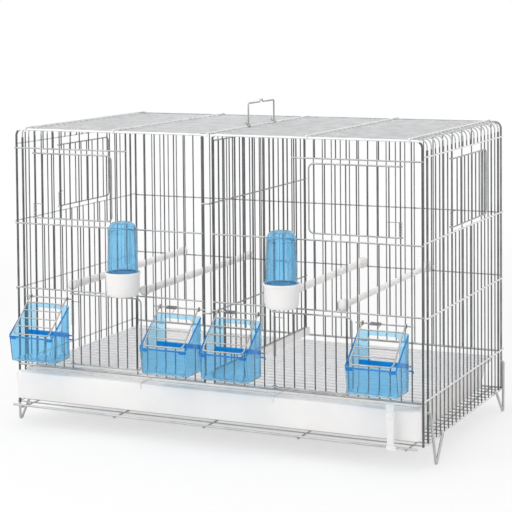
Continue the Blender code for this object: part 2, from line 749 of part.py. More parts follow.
def drinker(side, x, cup_look, tube_look):
    """A round water cup with a spout, and the bottle that stands in it."""
    back = FRONT_Y - WIRE_R - GAP
    centre_y = FRONT_Y - DRINKER_CUP_R - WIRE_R - GAP

    def outline(inset, z):
        radius = DRINKER_CUP_R - inset
        made = []
        for index in range(ROUND_SIDES):
            turn = math.tau * index / ROUND_SIDES
            made.append((x + radius * math.cos(turn), centre_y + radius * math.sin(turn), z))
        return made

    low, high = DRINKER_CUP_Z
    floor = low + DRINKER_FLOOR
    rings = [outline(DRINKER_CUP_WALL, low), outline(0, floor), outline(0, high)]
    rings += [outline(DRINKER_CUP_WALL, high), outline(DRINKER_CUP_WALL, floor)]
    cup_name = "drinker_cup_" + side
    half = SPOUT_WIDTH / 2
    spout_low = (x - half, back - SPOUT_ROOT, SPOUT_Z[0])
    spout = block(spout_low, (x + half, FRONT_Y + SPOUT_REACH, SPOUT_Z[1]))
    cup = joined(cup_name, [loft(rings), spout])
    inner = half - SPOUT_WALL
    trough_low = (x - inner, back - SPOUT_ROOT - GAP, SPOUT_Z[0] + SPOUT_WALL)
    trough_high = (x + inner, FRONT_Y + SPOUT_REACH - SPOUT_WALL, SPOUT_Z[1] + SPOUT_WALL)
    cut_away(cup, block(trough_low, trough_high))
    finish(cup, cup_look)
    bottom, top = TUBE_Z
    tube_y = centre_y
    profile = [(TUBE_FOOT_R, bottom), (TUBE_FOOT_R, bottom + TUBE_FOOT_HEIGHT)]
    profile += [(TUBE_R, bottom + TUBE_FOOT_HEIGHT), (TUBE_R, top - TUBE_SHOULDER)]
    profile += [(TUBE_NECK_R + TUBE_WALL, top)]
    made = as_object("drinker_tube_" + side, turned(profile, (x, tube_y)))
    bore = [(TUBE_R - TUBE_WALL, bottom - TUBE_WALL), (TUBE_R - TUBE_WALL, top - TUBE_SHOULDER)]
    bore.append((TUBE_NECK_R, top - TUBE_WALL))
    cut_away(made, turned(bore, (x, tube_y)))
    finish(made, tube_look, (x, tube_y, bottom))


def perches(white, grey):
    start = FRONT_Y + WIRE_R + GAP
    end = BACK_Y - WIRE_R - GAP
    for index, share in enumerate(PERCH_WIRE_SHARES):
        x = -HALF_WIDTH + share * HALF_WIDTH * 2
        thin = index == len(PERCH_WIRE_SHARES) - 1
        radius = PERCH_THIN_R if thin else PERCH_R
        cap = PERCH_CAP_R if index < 2 else PERCH_COLLAR_R
        places = [start, start + PERCH_CAP_LENGTH, start + PERCH_CAP_LENGTH]
        places += [end - PERCH_CAP_LENGTH, end - PERCH_CAP_LENGTH, end]
        radii = [cap, cap, radius, radius, cap, cap]
        outlines = []
        for y, ring_r in zip(places, radii):
            ring = []
            for corner in range(PERCH_SIDES):
                turn = math.tau * corner / PERCH_SIDES
                ring.append((x + ring_r * math.cos(turn), y, PERCH_Z + ring_r * math.sin(turn)))
            outlines.append(ring)
        made = as_object("perch_" + str(index + 1), loft(outlines))
        finish(made, grey if thin else white)


def divider(look, white):
    """A wire panel in the middle that draws out between the two halves of the front."""
    strip_low, strip_high = STRIP_Z, STRIP_Z + STRIP_HEIGHT
    bottom = strip_high + GAP + RAIL_R
    rear = BACK_Y - DIVIDER_REAR_CLEAR
    front = FRONT_Y + SIDE_PITCH
    short = RAIL_R * SHORT_SHARE
    last = FRONT_Y + SIDE_PITCH * (STEPS_DEEP - 1)
    bodies = []
    for z in (bottom, DIVIDER_TOP_Z):
        bodies.append(tube([(0, front, z), (0, last, z)], RAIL_R, WIRE_SIDES, (0, 0, 1)))
    for index in range(1, STEPS_DEEP):
        y = FRONT_Y + index * SIDE_PITCH
        thick = index in (1, STEPS_DEEP - 1)
        reach = RAIL_R * SINK_SHARE if thick else -short
        ends = [(0, y, bottom - reach), (0, y, DIVIDER_TOP_Z + reach)]
        hint = (1, 0, 0) if thick else (1, 1, 0)
        bodies.append(tube(ends, FRAME_R if thick else WIRE_R, WIRE_SIDES, hint))
    beside = WIRE_R + GAP + RAIL_R
    for z in DIVIDER_RAILS_Z:
        nose = FRONT_Y - DIVIDER_HOOK_REACH
        route = [(beside, last, z), (beside, nose, z), (-DIVIDER_HOOK_SIDE, nose, z)]
        bodies.append(tube(rounded(route, DIVIDER_HOOK_BEND_R), RAIL_R, WIRE_SIDES, (0, 0, 1)))
    finish(joined("divider_panel", bodies), look)
    half = DIVIDER_STRIP_THICK / 2
    low = (-half, FRONT_Y + FRAME_R + GAP, strip_low)
    finish(as_object("divider_strip", block(low, (half, rear, strip_high))), white)


def rectangle(half, front, rear, z):
    return [(-half, front, z), (half, front, z), (half, rear, z), (-half, rear, z)]


def tray(white):
    """The tray with its rim all round and a full-width face before the mesh."""
    front = FRONT_Y - TRAY_FRONT
    face = FRONT_Y - FASCIA_REACH
    ledge = face + FASCIA_THICK / 2
    rear = BACK_Y - TRAY_REAR_CLEAR
    under = TRAY_RIM_Z - TRAY_RIM_THICK
    rim = TRAY_RIM_WIDTH
    inner = rim + TRAY_WALL
    half = TRAY_HALF_WIDTH
    low = TRAY_FLOOR_Z
    draft = TRAY_DRAFT
    rings = [rectangle(half - rim - draft, front + rim + draft, rear - rim - draft, low)]
    rings.append(rectangle(half - rim, front + rim, rear - rim, under))
    rings.append(rectangle(half, ledge, rear, under))
    rings.append(rectangle(half, ledge, rear, TRAY_RIM_Z))
    rings.append(rectangle(half - inner, front + inner, rear - inner, TRAY_RIM_Z))
    inner += draft
    rings.append(rectangle(half - inner, front + inner, rear - inner, low + TRAY_WALL))
    plate_low = (-FASCIA_HALF_WIDTH, face, BASE_Z + FASCIA_LIFT)
    plate = block(plate_low, (FASCIA_HALF_WIDTH, face + FASCIA_THICK, TRAY_RIM_Z + FASCIA_LIP))
    finish(joined("tray", [loft(rings), plate]), white)


def floor_grille(look):
    half = TRAY_HALF_WIDTH - GRILLE_SIDE_INSET
    bodies = []
    step = SIDE_PITCH
    first = FRONT_Y + FRAME_R + GAP + FRAME_R
    last = first + step * GRILLE_PITCHES
    sink = FRAME_R * SINK_SHARE
    for x in (-half, half):
        ends = [(x, first - sink, GRILLE_Z), (x, last + sink, GRILLE_Z)]
        bodies.append(tube(ends, FRAME_R, FRAME_SIDES, (0, 0, 1)))
    for index in range(GRILLE_PITCHES + 1):
        y = first + index * step
        bodies.append(tube([(-half - sink, y, GRILLE_Z), (half + sink, y, GRILLE_Z)], WIRE_R))
    return finish(joined("floor_grille", bodies), look)


def tray_latch(white):
    """A turning strap on the front of the tray that covers the kick wire."""
    low, high = LATCH_FOOT_Z, LATCH_TOP_Z
    half = LATCH_WIDTH / 2
    rear = LATCH_Y + LATCH_THICK
    strap = block((LATCH_X - half, LATCH_Y, low + GAP), (LATCH_X + half, rear, high))
    foot_low = (LATCH_X - half - GAP, LATCH_Y - LATCH_THICK / 2, low)
    foot = block(foot_low, (LATCH_X + LATCH_FOOT_WIDTH - half, rear - GAP, low + LATCH_FOOT_HEIGHT))
    seat = FRONT_Y - FASCIA_REACH - GAP
    knob_low = (LATCH_X - half + GAP, LATCH_Y - LATCH_THICK / 2, TRAY_RIM_Z - 2 * LATCH_PIVOT_R)
    knob_high = (LATCH_X + half - GAP, seat, TRAY_RIM_Z)
    made = joined("tray_latch", [strap, foot, block(knob_low, knob_high)])
    return finish(made, white, (LATCH_X, LATCH_Y, TRAY_RIM_Z - LATCH_PIVOT_R))


def foot(name, place, spots, look):
    """A foot of bent wire, hooked to the side and flat where it meets the ground."""
    top_y, apex_y, inner_y = spots
    out = SIDE_RAIL_OUT + RAIL_R + GAP + FOOT_R
    rest = FOOT_R * FOOT_FLAT_SHARE
    over = BASE_Z + RAIL_R + GAP + FOOT_R
    route = [place(top_y, out - FOOT_HOOK, FOOT_TOP_Z), place(top_y, out, FOOT_TOP_Z)]
    route += [place(apex_y, out + FOOT_SPLAY, rest), place(inner_y, out, over)]
    route.append(place(inner_y, out - FOOT_HOOK, over))
    reach = HALF_WIDTH + out + FOOT_SPLAY + FOOT_R
    way = 1 if route[2].x > 0 else -1
    for attempt in range(BEND_STEPS):
        bends = rounded(route, FOOT_BEND_R)
        body = tube(bends, FOOT_R, FRAME_SIDES, (0, 0, 1))
        furthest = max(abs(vertex.co.x) for vertex in body.verts)
        lowest = min(bends, key=lambda point: point.z)
        if attempt < BEND_STEPS - 1:
            back_on = place(apex_y, 0, 0).y - lowest.y
            route[2] += Vector((way * (reach - furthest), back_on, rest - lowest.z))
            body.free()
    ground = bmesh.ops.bisect_plane(
        body, geom=body.verts[:] + body.edges[:] + body.faces[:],
        plane_co=(0, 0, 0), plane_no=(0, 0, -1), clear_outer=True)
    edges = [edge for edge in ground["geom_cut"] if isinstance(edge, bmesh.types.BMEdge)]
    bmesh.ops.holes_fill(body, edges=edges)
    finish(as_object(name, body), look)


def handle(look):
    """A folding handle whose two rings turn on the centre bar of the roof."""
    ring_r = RAIL_R + GAP + HANDLE_R
    beside = WIRE_R + GAP + HANDLE_R
    front = FRONT_Y + HANDLE_WIRES[0] * SIDE_PITCH - beside
    rear = FRONT_Y + HANDLE_WIRES[1] * SIDE_PITCH + beside
    foot_z = HANDLE_AXIS_Z + ring_r
    route = [(0, front, foot_z), (0, front, HANDLE_TOP_Z), (0, rear, HANDLE_TOP_Z), (0, rear, foot_z)]
    bends = rounded(route, HANDLE_BEND_R)
    bodies = [tube(bends, HANDLE_R, FRAME_SIDES, (1, 0, 0))]
    for y in (front, rear):
        body = bmesh.new()
        rings = []
        for step in range(RING_STEPS):
            turn = math.tau * step / RING_STEPS
            ring = []
            for corner in range(FRAME_SIDES):
                around = math.tau * corner / FRAME_SIDES
                reach = ring_r + HANDLE_R * math.cos(around)
                place = (reach * math.sin(turn), y + HANDLE_R * math.sin(around),
                         HANDLE_AXIS_Z + reach * math.cos(turn))
                ring.append(body.verts.new(place))
            rings.append(ring)
        for step in range(RING_STEPS):
            low = rings[step]
            high = rings[(step + 1) % RING_STEPS]
            for corner in range(FRAME_SIDES):
                after = (corner + 1) % FRAME_SIDES
                body.faces.new((low[corner], low[after], high[after], high[corner]))
        bmesh.ops.recalc_face_normals(body, faces=body.faces)
        bodies.append(body)
    middle = (front + rear) / 2
    finish(joined("carry_handle", bodies), look, (0, middle, HANDLE_AXIS_Z))


def main():
    clear_scene()
    wire = material("plated_wire", (0.62, 0.62, 0.60), 0.9, 0.35)
    warm = material("guard_wire", (0.66, 0.60, 0.52), 0.9, 0.35)
    steel = material("spring_steel", (0.70, 0.70, 0.70), 1.0, 0.3)
    coated = material("grille_wire", (0.80, 0.85, 0.90), 0.4, 0.45)
    white = material("white_plastic", (0.85, 0.86, 0.85), 0.0, 0.45)
    grey = material("grey_plastic", (0.42, 0.43, 0.45), 0.0, 0.5)
    blue = material("blue_plastic", (0.10, 0.48, 0.86), 0.0, 0.2, 0.6)
    front_half("front_mesh_left", 0, LEFT_END_WIRE, RAIL_A_LEFT_WIRES, CUP_WIRES[:2], wire)
    front_half("front_mesh_right", STEPS_WIDE, RIGHT_END_WIRE, RAIL_A_RIGHT_WIRES, CUP_WIRES[2:], wire)
    back_panel(wire)
    side_panel("left_side_mesh", on_left, wire)
    side_panel("right_side_mesh", on_right, wire)
    side_top("left_side_top", on_left, wire)
    side_top("right_side_top", on_right, wire)
    roof(wire)
    base(wire)
    front_doors(wire, steel)
    for index, (first, last) in enumerate(CUP_WIRES):
        x = (wire_x(first) + wire_x(last)) / 2
        seed_cup(index + 1, x, blue)
        guard(index + 1, x, warm, steel)
    drinker("left", DRINKER_X[0], white, blue)
    drinker("right", DRINKER_X[1], white, blue)
    perches(white, grey)
    divider(wire, white)
    tray(white)
    floor_grille(coated)
    tray_latch(white)
    foot("foot_front_right", on_right, FOOT_RIGHT_FRONT_Y, wire)
    foot("foot_back_right", on_right, FOOT_BACK_Y, wire)
    foot("foot_front_left", on_left, FOOT_LEFT_FRONT_Y, wire)
    foot("foot_back_left", on_left, FOOT_BACK_Y, wire)
    handle(wire)


main()
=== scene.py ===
# %% [markdown]
# A bird breeding cage
# The cage is almost all wire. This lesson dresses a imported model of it: each wire panel is drawn
# again with round wires, and the cups, bottles, tray and perches are modelled as moulded plastic.
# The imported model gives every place, so the new pieces are built on the same sizes.

import math

import bmesh
import bpy
from mathutils import Matrix, Vector


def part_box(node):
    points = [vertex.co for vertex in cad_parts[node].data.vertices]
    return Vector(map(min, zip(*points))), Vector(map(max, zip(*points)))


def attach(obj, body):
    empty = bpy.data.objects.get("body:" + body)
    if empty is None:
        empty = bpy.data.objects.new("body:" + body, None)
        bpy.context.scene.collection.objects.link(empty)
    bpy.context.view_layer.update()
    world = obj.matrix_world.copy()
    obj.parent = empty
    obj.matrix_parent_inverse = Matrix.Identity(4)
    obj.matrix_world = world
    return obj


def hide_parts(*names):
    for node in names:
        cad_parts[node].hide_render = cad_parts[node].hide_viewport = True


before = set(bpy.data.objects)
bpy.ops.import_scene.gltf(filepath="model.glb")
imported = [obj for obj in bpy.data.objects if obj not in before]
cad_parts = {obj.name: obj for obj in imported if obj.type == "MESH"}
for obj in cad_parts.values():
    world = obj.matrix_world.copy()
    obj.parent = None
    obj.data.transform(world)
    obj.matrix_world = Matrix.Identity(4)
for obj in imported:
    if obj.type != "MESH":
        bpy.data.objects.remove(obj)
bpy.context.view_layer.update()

# %% [markdown]
# Sizes
# A welded cage is set out on two steps: 15 mm across the front and 16.6 mm along the sides. The
# heights of its cross rails are measured from the ground. With these few values written once, the
# wires, doors and cups all line up.

# %% Sizes in metres
PITCH = 0.015
STEPS_WIDE = 41
SIDE_PITCH = 0.01664
STEPS_DEEP = 21
WIRE_R = 0.00095
RAIL_R = 0.0011
FRAME_R = 0.0016
GAP = 0.0003
HALF_WIDTH = PITCH * STEPS_WIDE / 2
DEPTH = SIDE_PITCH * STEPS_DEEP
RAIL_OUT = WIRE_R + RAIL_R + GAP / 3
REST_OUT = FRAME_R + GAP + RAIL_R
FRONT_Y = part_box("divider_strip")[0].y - FRAME_R - GAP
BACK_Y = FRONT_Y + DEPTH
TOP_Z = 0.4245
BASE_Z = 0.0297
KICK_REACH = 0.020
TRAY_RIM_Z = 0.076
FACE_REACH = 0.013
RAIL_A_Z, RAIL_B_Z, RAIL_C_Z, RAIL_D_Z = 0.398, 0.2896, 0.1966, 0.0848
SIDE_A_Z, SIDE_B_Z, SIDE_C_Z, SIDE_D_Z = 0.4035, 0.2925, 0.1944, 0.088
BACK_B_Z, BACK_C_Z = 0.291, 0.1977
GUARD_RAIL_Z = 0.1846
SILL_Z = 0.1325
GUARD_RAIL_OUT = WIRE_R + RAIL_R - GAP
BEND_R = 0.009
FLUSH = FRAME_R - WIRE_R
SIDE_TOP_Z = TOP_Z - 0.013
CUP_WIRES = ((1, 6), (15, 20), (21, 26), (35, 40))
OPENINGS = [(2, 11, RAIL_B_Z, RAIL_A_Z), (30, 39, RAIL_B_Z, RAIL_A_Z), (6, 13, RAIL_D_Z, RAIL_C_Z)]
OPENINGS += [(27, 34, RAIL_D_Z, RAIL_C_Z)] + [(a + 1, b, SILL_Z, RAIL_C_Z) for a, b in CUP_WIRES]
SIDE_OPENING = (7, 16)


def wire_x(index):
    """Place along X of an upright of the front or the back."""
    return -HALF_WIDTH + index * PITCH


def on_front(along, out, z):
    return Vector((along, FRONT_Y - out, z))


def on_back(along, out, z):
    return Vector((along, BACK_Y + out, z))


def on_left(along, out, z):
    return Vector((-HALF_WIDTH - out, FRONT_Y + along, z))


def on_right(along, out, z):
    return Vector((HALF_WIDTH + out, FRONT_Y + along, z))


SIDES = (("left", on_left), ("right", on_right))
print("front at", round(FRONT_Y, 4), "back at", round(BACK_Y, 4))

# %% [markdown]
# Camera
# The photograph was taken from the front and a little to the right, from above the roof, with a
# long lens. The lens is shifted down, because the upright wires stay almost parallel in the picture.

# %% Camera
CAMERA_PLACE = (0.9995, FRONT_Y - 1.9851, 0.6063)
CAMERA_YAW, CAMERA_PITCH, CAMERA_ROLL = 0.4365, -0.0471, -0.0084
CAMERA_LENS, CAMERA_SENSOR = 115.3, 36
CAMERA_SHIFT_Y = -0.348
CAMERA_CLIP = 50

flat = math.cos(CAMERA_PITCH)
forward = Vector((-math.sin(CAMERA_YAW) * flat, math.cos(CAMERA_YAW) * flat, math.sin(CAMERA_PITCH)))
level_right = forward.cross(Vector((0, 0, 1))).normalized()
level_up = level_right.cross(forward)
right = level_right * math.cos(CAMERA_ROLL) + level_up * math.sin(CAMERA_ROLL)
up = level_up * math.cos(CAMERA_ROLL) - level_right * math.sin(CAMERA_ROLL)
bpy.ops.object.camera_add(location=CAMERA_PLACE)
camera = bpy.context.object
camera.rotation_euler = Matrix((right, up, -forward)).transposed().to_euler()
camera.data.lens = CAMERA_LENS
camera.data.sensor_width = CAMERA_SENSOR
camera.data.shift_y = CAMERA_SHIFT_Y
camera.data.clip_end = CAMERA_CLIP
bpy.context.scene.camera = camera

# %% [markdown]
# Light
# The cage stands on a white sweep in a bright studio. Large soft lamps keep the shadows faint, and
# the white that the wires mirror comes from the surroundings.

# %% Soft lamps
LAMP_TARGET = (0, 0, 0.2)
LAMPS = {
    "top_lamp": ((-0.3, -0.4, 2.6), 2.4, 26),
    "front_lamp": ((-1.6, -2.2, 1.5), 1.6, 16),
    "side_lamp": ((2.4, -1.0, 1.2), 1.2, 7),
}
for name, (place, size, power) in LAMPS.items():
    bpy.ops.object.light_add(type="AREA", location=place)
    lamp = bpy.context.object
    lamp.name = name
    lamp.data.size = size
    lamp.data.energy = power
    aim = Vector(LAMP_TARGET) - Vector(place)
    lamp.rotation_euler = aim.to_track_quat("-Z", "Y").to_euler()

# %% White surroundings
WORLD_TINT = (0.99, 0.985, 0.98, 1.0)
WORLD_STRENGTH = 0.66
PURE_WHITE = (1.0, 1.0, 1.0, 1.0)


def fed(tree, node, inputs):
    """Sets the inputs of a node, or links them where a socket is given."""
    for name, value in inputs.items():
        if isinstance(value, bpy.types.NodeSocket):
            tree.links.new(value, node.inputs[name])
        else:
            node.inputs[name].default_value = value
    return node


def added(tree, kind, inputs, operation=None):
    """A new shader node with its inputs."""
    node = tree.nodes.new("ShaderNode" + kind)
    if operation:
        node.operation = operation
    return fed(tree, node, inputs)


def seen_rays(tree):
    """One for rays that see a surface straight, in a mirror or through glass, else nought."""
    path = tree.nodes.new("ShaderNodeLightPath").outputs
    either = added(tree, "Math", {0: path["Is Camera Ray"], 1: path["Is Glossy Ray"]}, "MAXIMUM")
    return added(tree, "Math", {0: either.outputs[0], 1: path["Is Transmission Ray"]}, "MAXIMUM").outputs[0]


def lead_out(tree, output, share, first, second):
    """Mixes two shaders by a share and leads the result to the output."""
    mix = added(tree, "MixShader", {0: share, 1: first.outputs[0], 2: second.outputs[0]})
    fed(tree, tree.nodes[output], {"Surface": mix.outputs[0]})


world = bpy.data.worlds.new("studio")
world.use_nodes = True
tree = world.node_tree
light = fed(tree, tree.nodes["Background"], {"Color": WORLD_TINT, "Strength": WORLD_STRENGTH})
seen = added(tree, "Background", {"Color": PURE_WHITE, "Strength": 1.0})
lead_out(tree, "World Output", seen_rays(tree), light, seen)
bpy.context.scene.world = world
bpy.context.scene.view_settings.view_transform = "Standard"

# %% [markdown]
# Sweep
# Under the cage the floor takes its light from the lamps, so it keeps a soft shadow. Further out it
# slowly turns into plain white by itself, and no horizon shows behind the wires.

# %% White sweep
SWEEP_SIZE = 40
SWEEP_SHADE = (0.93, 0.93, 0.93, 1.0)
SWEEP_ROUGHNESS = 0.9
SWEEP_RANGE = {"From Min": 0.5, "From Max": 2.2, "To Min": 0.62, "To Max": 1.0}

bpy.ops.mesh.primitive_plane_add(size=SWEEP_SIZE, location=(0, 0, 0))
floor = bpy.context.object
floor.name = "studio_floor"
look = bpy.data.materials.new("floor_white")
look.use_nodes = True
tree = look.node_tree
shader = tree.nodes["Principled BSDF"]
fed(tree, shader, {"Base Color": SWEEP_SHADE, "Roughness": SWEEP_ROUGHNESS})
where = tree.nodes.new("ShaderNodeTexCoord")
away = added(tree, "VectorMath", {0: where.outputs["Object"]}, "LENGTH")
share = added(tree, "MapRange", SWEEP_RANGE | {"Value": away.outputs["Value"]})
share.interpolation_type = "SMOOTHSTEP"
seen = added(tree, "Math", {0: share.outputs["Result"], 1: seen_rays(tree)}, "MULTIPLY")
white = added(tree, "Emission", {"Strength": 1.0})
lead_out(tree, "Material Output", seen.outputs[0], shader, white)
floor.data.materials.append(look)

# %% [markdown]
# Finishes
# The wires are steel with a bright plating, so they are metal with a little unevenness in colour
# and gloss. They mirror the room, and besides that the one plating comes in several copies with
# painted light and shade in their colour: the front uprights are painted darkest, the sides and the
# back a little lighter, the rails, roof and base lighter still, and the roof bars and side rails carry
# a painted highlight. The plastics are moulded: their colour varies slightly and their skin is not
# quite flat.
# Each finish is a small node tree on Object coordinates, so it stays put on the piece.

# %% A helper for every finish
TINT_STOPS = (0.35, 0.65)
GRAIN_DETAIL = 3.0
SKIN_FINER = 6
SKIN_HEIGHT = 0.0002
PLATING_SCALE = 45
CLEAR_IOR = 1.2


def finish(name, dark, light, rough, scale, bump, metallic=0.0):
    """A material whose colour and gloss drift between two values."""
    made = bpy.data.materials.new(name)
    made.use_nodes = True
    tree = made.node_tree
    where = tree.nodes.new("ShaderNodeTexCoord").outputs["Object"]
    grain = added(tree, "TexNoise", {"Scale": scale, "Detail": GRAIN_DETAIL, "Vector": where}).outputs["Fac"]
    tint = added(tree, "ValToRGB", {"Fac": grain})
    for stop, colour, position in zip(tint.color_ramp.elements, (dark, light), TINT_STOPS):
        stop.color = (*colour, 1.0)
        stop.position = position
    gloss = added(tree, "MapRange", {"To Min": rough[0], "To Max": rough[1], "Value": grain})
    skin = added(tree, "TexNoise", {"Scale": scale * SKIN_FINER, "Vector": where}).outputs["Fac"]
    relief = added(tree, "Bump", {"Strength": bump, "Distance": SKIN_HEIGHT, "Height": skin})
    fed(tree, tree.nodes["Principled BSDF"], {
        "Metallic": metallic,
        "Base Color": tint.outputs["Color"],
        "Roughness": gloss.outputs["Result"],
        "Normal": relief.outputs["Normal"],
    })
    return made


def plating(name, dark, light, rough, metallic, bump=0.03):
    """Bright plated steel."""
    return finish(name, dark, light, rough, PLATING_SCALE, bump, metallic)


# %% All finishes
# Painted light and shade: these six copies of one plating differ mainly in a painted shade or highlight in
# their colour, darkest on the front uprights and brightest as a painted highlight on the bars.
plating_painted_deep_shade = plating("plating_painted_deep_shade", (0.10, 0.105, 0.11), (0.17, 0.175, 0.18), (0.20, 0.32), 0.85)
plating_painted_half_shade = plating("plating_painted_half_shade", (0.20, 0.205, 0.21), (0.30, 0.305, 0.31), (0.22, 0.34), 0.8)
plating_painted_shade = plating("plating_painted_shade", (0.13, 0.135, 0.14), (0.22, 0.225, 0.23), (0.16, 0.26), 0.88)
plating_painted_light = plating("plating_painted_light", (0.34, 0.34, 0.34), (0.46, 0.46, 0.46), (0.20, 0.32), 0.8)
plating_painted_bright_light = plating("plating_painted_bright_light", (0.46, 0.465, 0.47), (0.56, 0.565, 0.57), (0.28, 0.40), 0.6, 0.02)
plating_painted_highlight = plating("plating_painted_highlight", (0.82, 0.825, 0.83), (0.90, 0.905, 0.91), (0.24, 0.34), 0.3, 0.02)
warm_plating = plating("warm_plating", (0.38, 0.355, 0.33), (0.50, 0.47, 0.44), (0.20, 0.32), 0.8)
spring_steel = finish("spring_steel", (0.28, 0.28, 0.29), (0.40, 0.40, 0.41), (0.20, 0.30), 120, 0.03, 0.85)
pale_coating = finish("pale_coating", (0.88, 0.90, 0.94), (0.94, 0.955, 0.98), (0.30, 0.44), 40, 0.05)
white_plastic = finish("white_plastic", (0.91, 0.89, 0.88), (0.95, 0.935, 0.925), (0.32, 0.45), 18, 0.05)
tinted_blue = finish("tinted_blue", (0.45, 0.77, 0.97), (0.52, 0.82, 0.99), (0.03, 0.08), 20, 0.03)
deep_blue = finish("deep_blue", (0.01, 0.40, 0.90), (0.02, 0.48, 0.97), (0.06, 0.14), 20, 0.03)
for clear, share in ((tinted_blue, 0.92), (deep_blue, 0.55)):
    see_through = clear.node_tree.nodes["Principled BSDF"]
    see_through.inputs["Transmission Weight"].default_value = share
    see_through.inputs["IOR"].default_value = CLEAR_IOR

# %% [markdown]
# Wires
# A wire is bent cold round a former, so its corners are arcs. It can be modelled by sweeping a
# circle along its route. A curve with a round bevel does the same and stays even through the
# bends, so each wire is drawn as a curve and then made a mesh. Equal wires are one wire and an array.

# %% Wire helpers
def only(*pieces):
    """Selects these pieces and makes the first one active."""
    bpy.ops.object.select_all(action="DESELECT")
    for piece in pieces:
        piece.select_set(True)
    bpy.context.view_layer.objects.active = pieces[0]


def bent(points, bend, steps=5):
    """A route with an arc in place of each corner."""
    route = [Vector(p) for p in points]
    made = [route[0]]
    for before, corner, after in zip(route, route[1:], route[2:]):
        back = (before - corner).normalized()
        ahead = (after - corner).normalized()
        half = back.angle(ahead) / 2
        centre = corner + (back + ahead).normalized() * bend / math.sin(half)
        reach = bend / math.tan(half)
        start = corner + back * reach - centre
        end = corner + ahead * reach - centre
        turn = start.angle(end)
        for step in range(steps + 1):
            part = step / steps
            first = math.sin((1 - part) * turn) / math.sin(turn)
            last = math.sin(part * turn) / math.sin(turn)
            made.append(centre + start * first + end * last)
    made.append(route[-1])
    return made


def wire(route, radius, look, roundness=1):
    """A round wire along a route."""
    curve = bpy.data.curves.new("wire", "CURVE")
    curve.dimensions = "3D"
    curve.bevel_depth = radius
    curve.bevel_resolution = roundness
    curve.use_fill_caps = True
    line = curve.splines.new("POLY")
    line.points.add(len(route) - 1)
    for point, place in zip(line.points, route):
        point.co = (*place, 1.0)
    piece = bpy.data.objects.new("wire", curve)
    bpy.context.scene.collection.objects.link(piece)
    only(piece)
    bpy.ops.object.convert(target="MESH")
    piece = bpy.context.object
    piece.data.materials.append(look)
    bpy.ops.object.shade_smooth()
    return piece


def rail(place, ends, out, z, look=plating_painted_light, radius=RAIL_R, roundness=1):
    """A straight wire between two places along a panel."""
    return wire([place(along, out, z) for along in ends], radius, look, roundness)


def applied(piece, kind, **values):
    """Adds a modifier with these values and applies it."""
    only(piece)
    bpy.ops.object.modifier_add(type=kind)
    modifier = piece.modifiers[-1]
    for key, value in values.items():
        setattr(modifier, key, value)
    bpy.ops.object.modifier_apply(modifier=modifier.name)
    return piece


def repeated(piece, count, step):
    """Copies of a piece at an even step, as an array that is applied."""
    if count < 2:
        return piece
    return applied(piece, "ARRAY", use_relative_offset=False, use_constant_offset=True,
                   constant_offset_displace=step, count=count)


def gathered(name, parts):
    """Joins parts into one named piece."""
    only(*parts)
    bpy.ops.object.join()
    made = bpy.context.object
    made.name = name
    return made


def dress(piece, body, slot, *nodes):
    """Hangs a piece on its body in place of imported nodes."""
    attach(piece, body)
    if nodes:
        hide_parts(*nodes)
    print(piece.name, "on", body, "with", len(piece.data.polygons), "faces")
    return piece


# %% [markdown]
# Mesh panels
# Uprights are welded on the inside of the cross rails and are cut out where a door or a cup goes.
# Runs of equal uprights are found first, and each run becomes one wire with an array.

# %% Runs of uprights
def spans(index, low, high, openings):
    """Stretches of an upright that the openings leave."""
    left = [(low, high)]
    for first, last, bottom, top in openings:
        if not first < index < last:
            continue
        kept = []
        for start, end in left:
            if bottom >= end or top <= start:
                kept.append((start, end))
                continue
            if bottom - start > PITCH / 4:
                kept.append((start, bottom + RAIL_R / 2))
            if end - top > PITCH / 4:
                kept.append((top - RAIL_R / 2, end))
        left = kept
    return left


def uprights(place, indexes, step, out, low, high, openings, look, shift=0.0):
    """All the uprights of a panel, one array for each run of equal ones."""
    runs = []
    for index in indexes:
        for span in spans(index, low, high, openings):
            for run in runs:
                if run[2] == span and run[1] == index - 1:
                    run[1] = index
                    break
            else:
                runs.append([index, index, span])
    parts = []
    stride = place(step, 0, 0) - place(0, 0, 0)
    for first, last, span in runs:
        along = shift + first * step
        piece = wire([place(along, out, span[0]), place(along, out, span[1])], WIRE_R, look)
        parts.append(repeated(piece, last - first + 1, stride))
    return parts


# %% [markdown]
# Front
# The front is two halves with a slot between them for the divider. A thicker wire frames each half
# and bends over the roof corner. The cross rails lie in front of the uprights and stick out a little.

# %% Front halves
RAIL_END = 0.0022


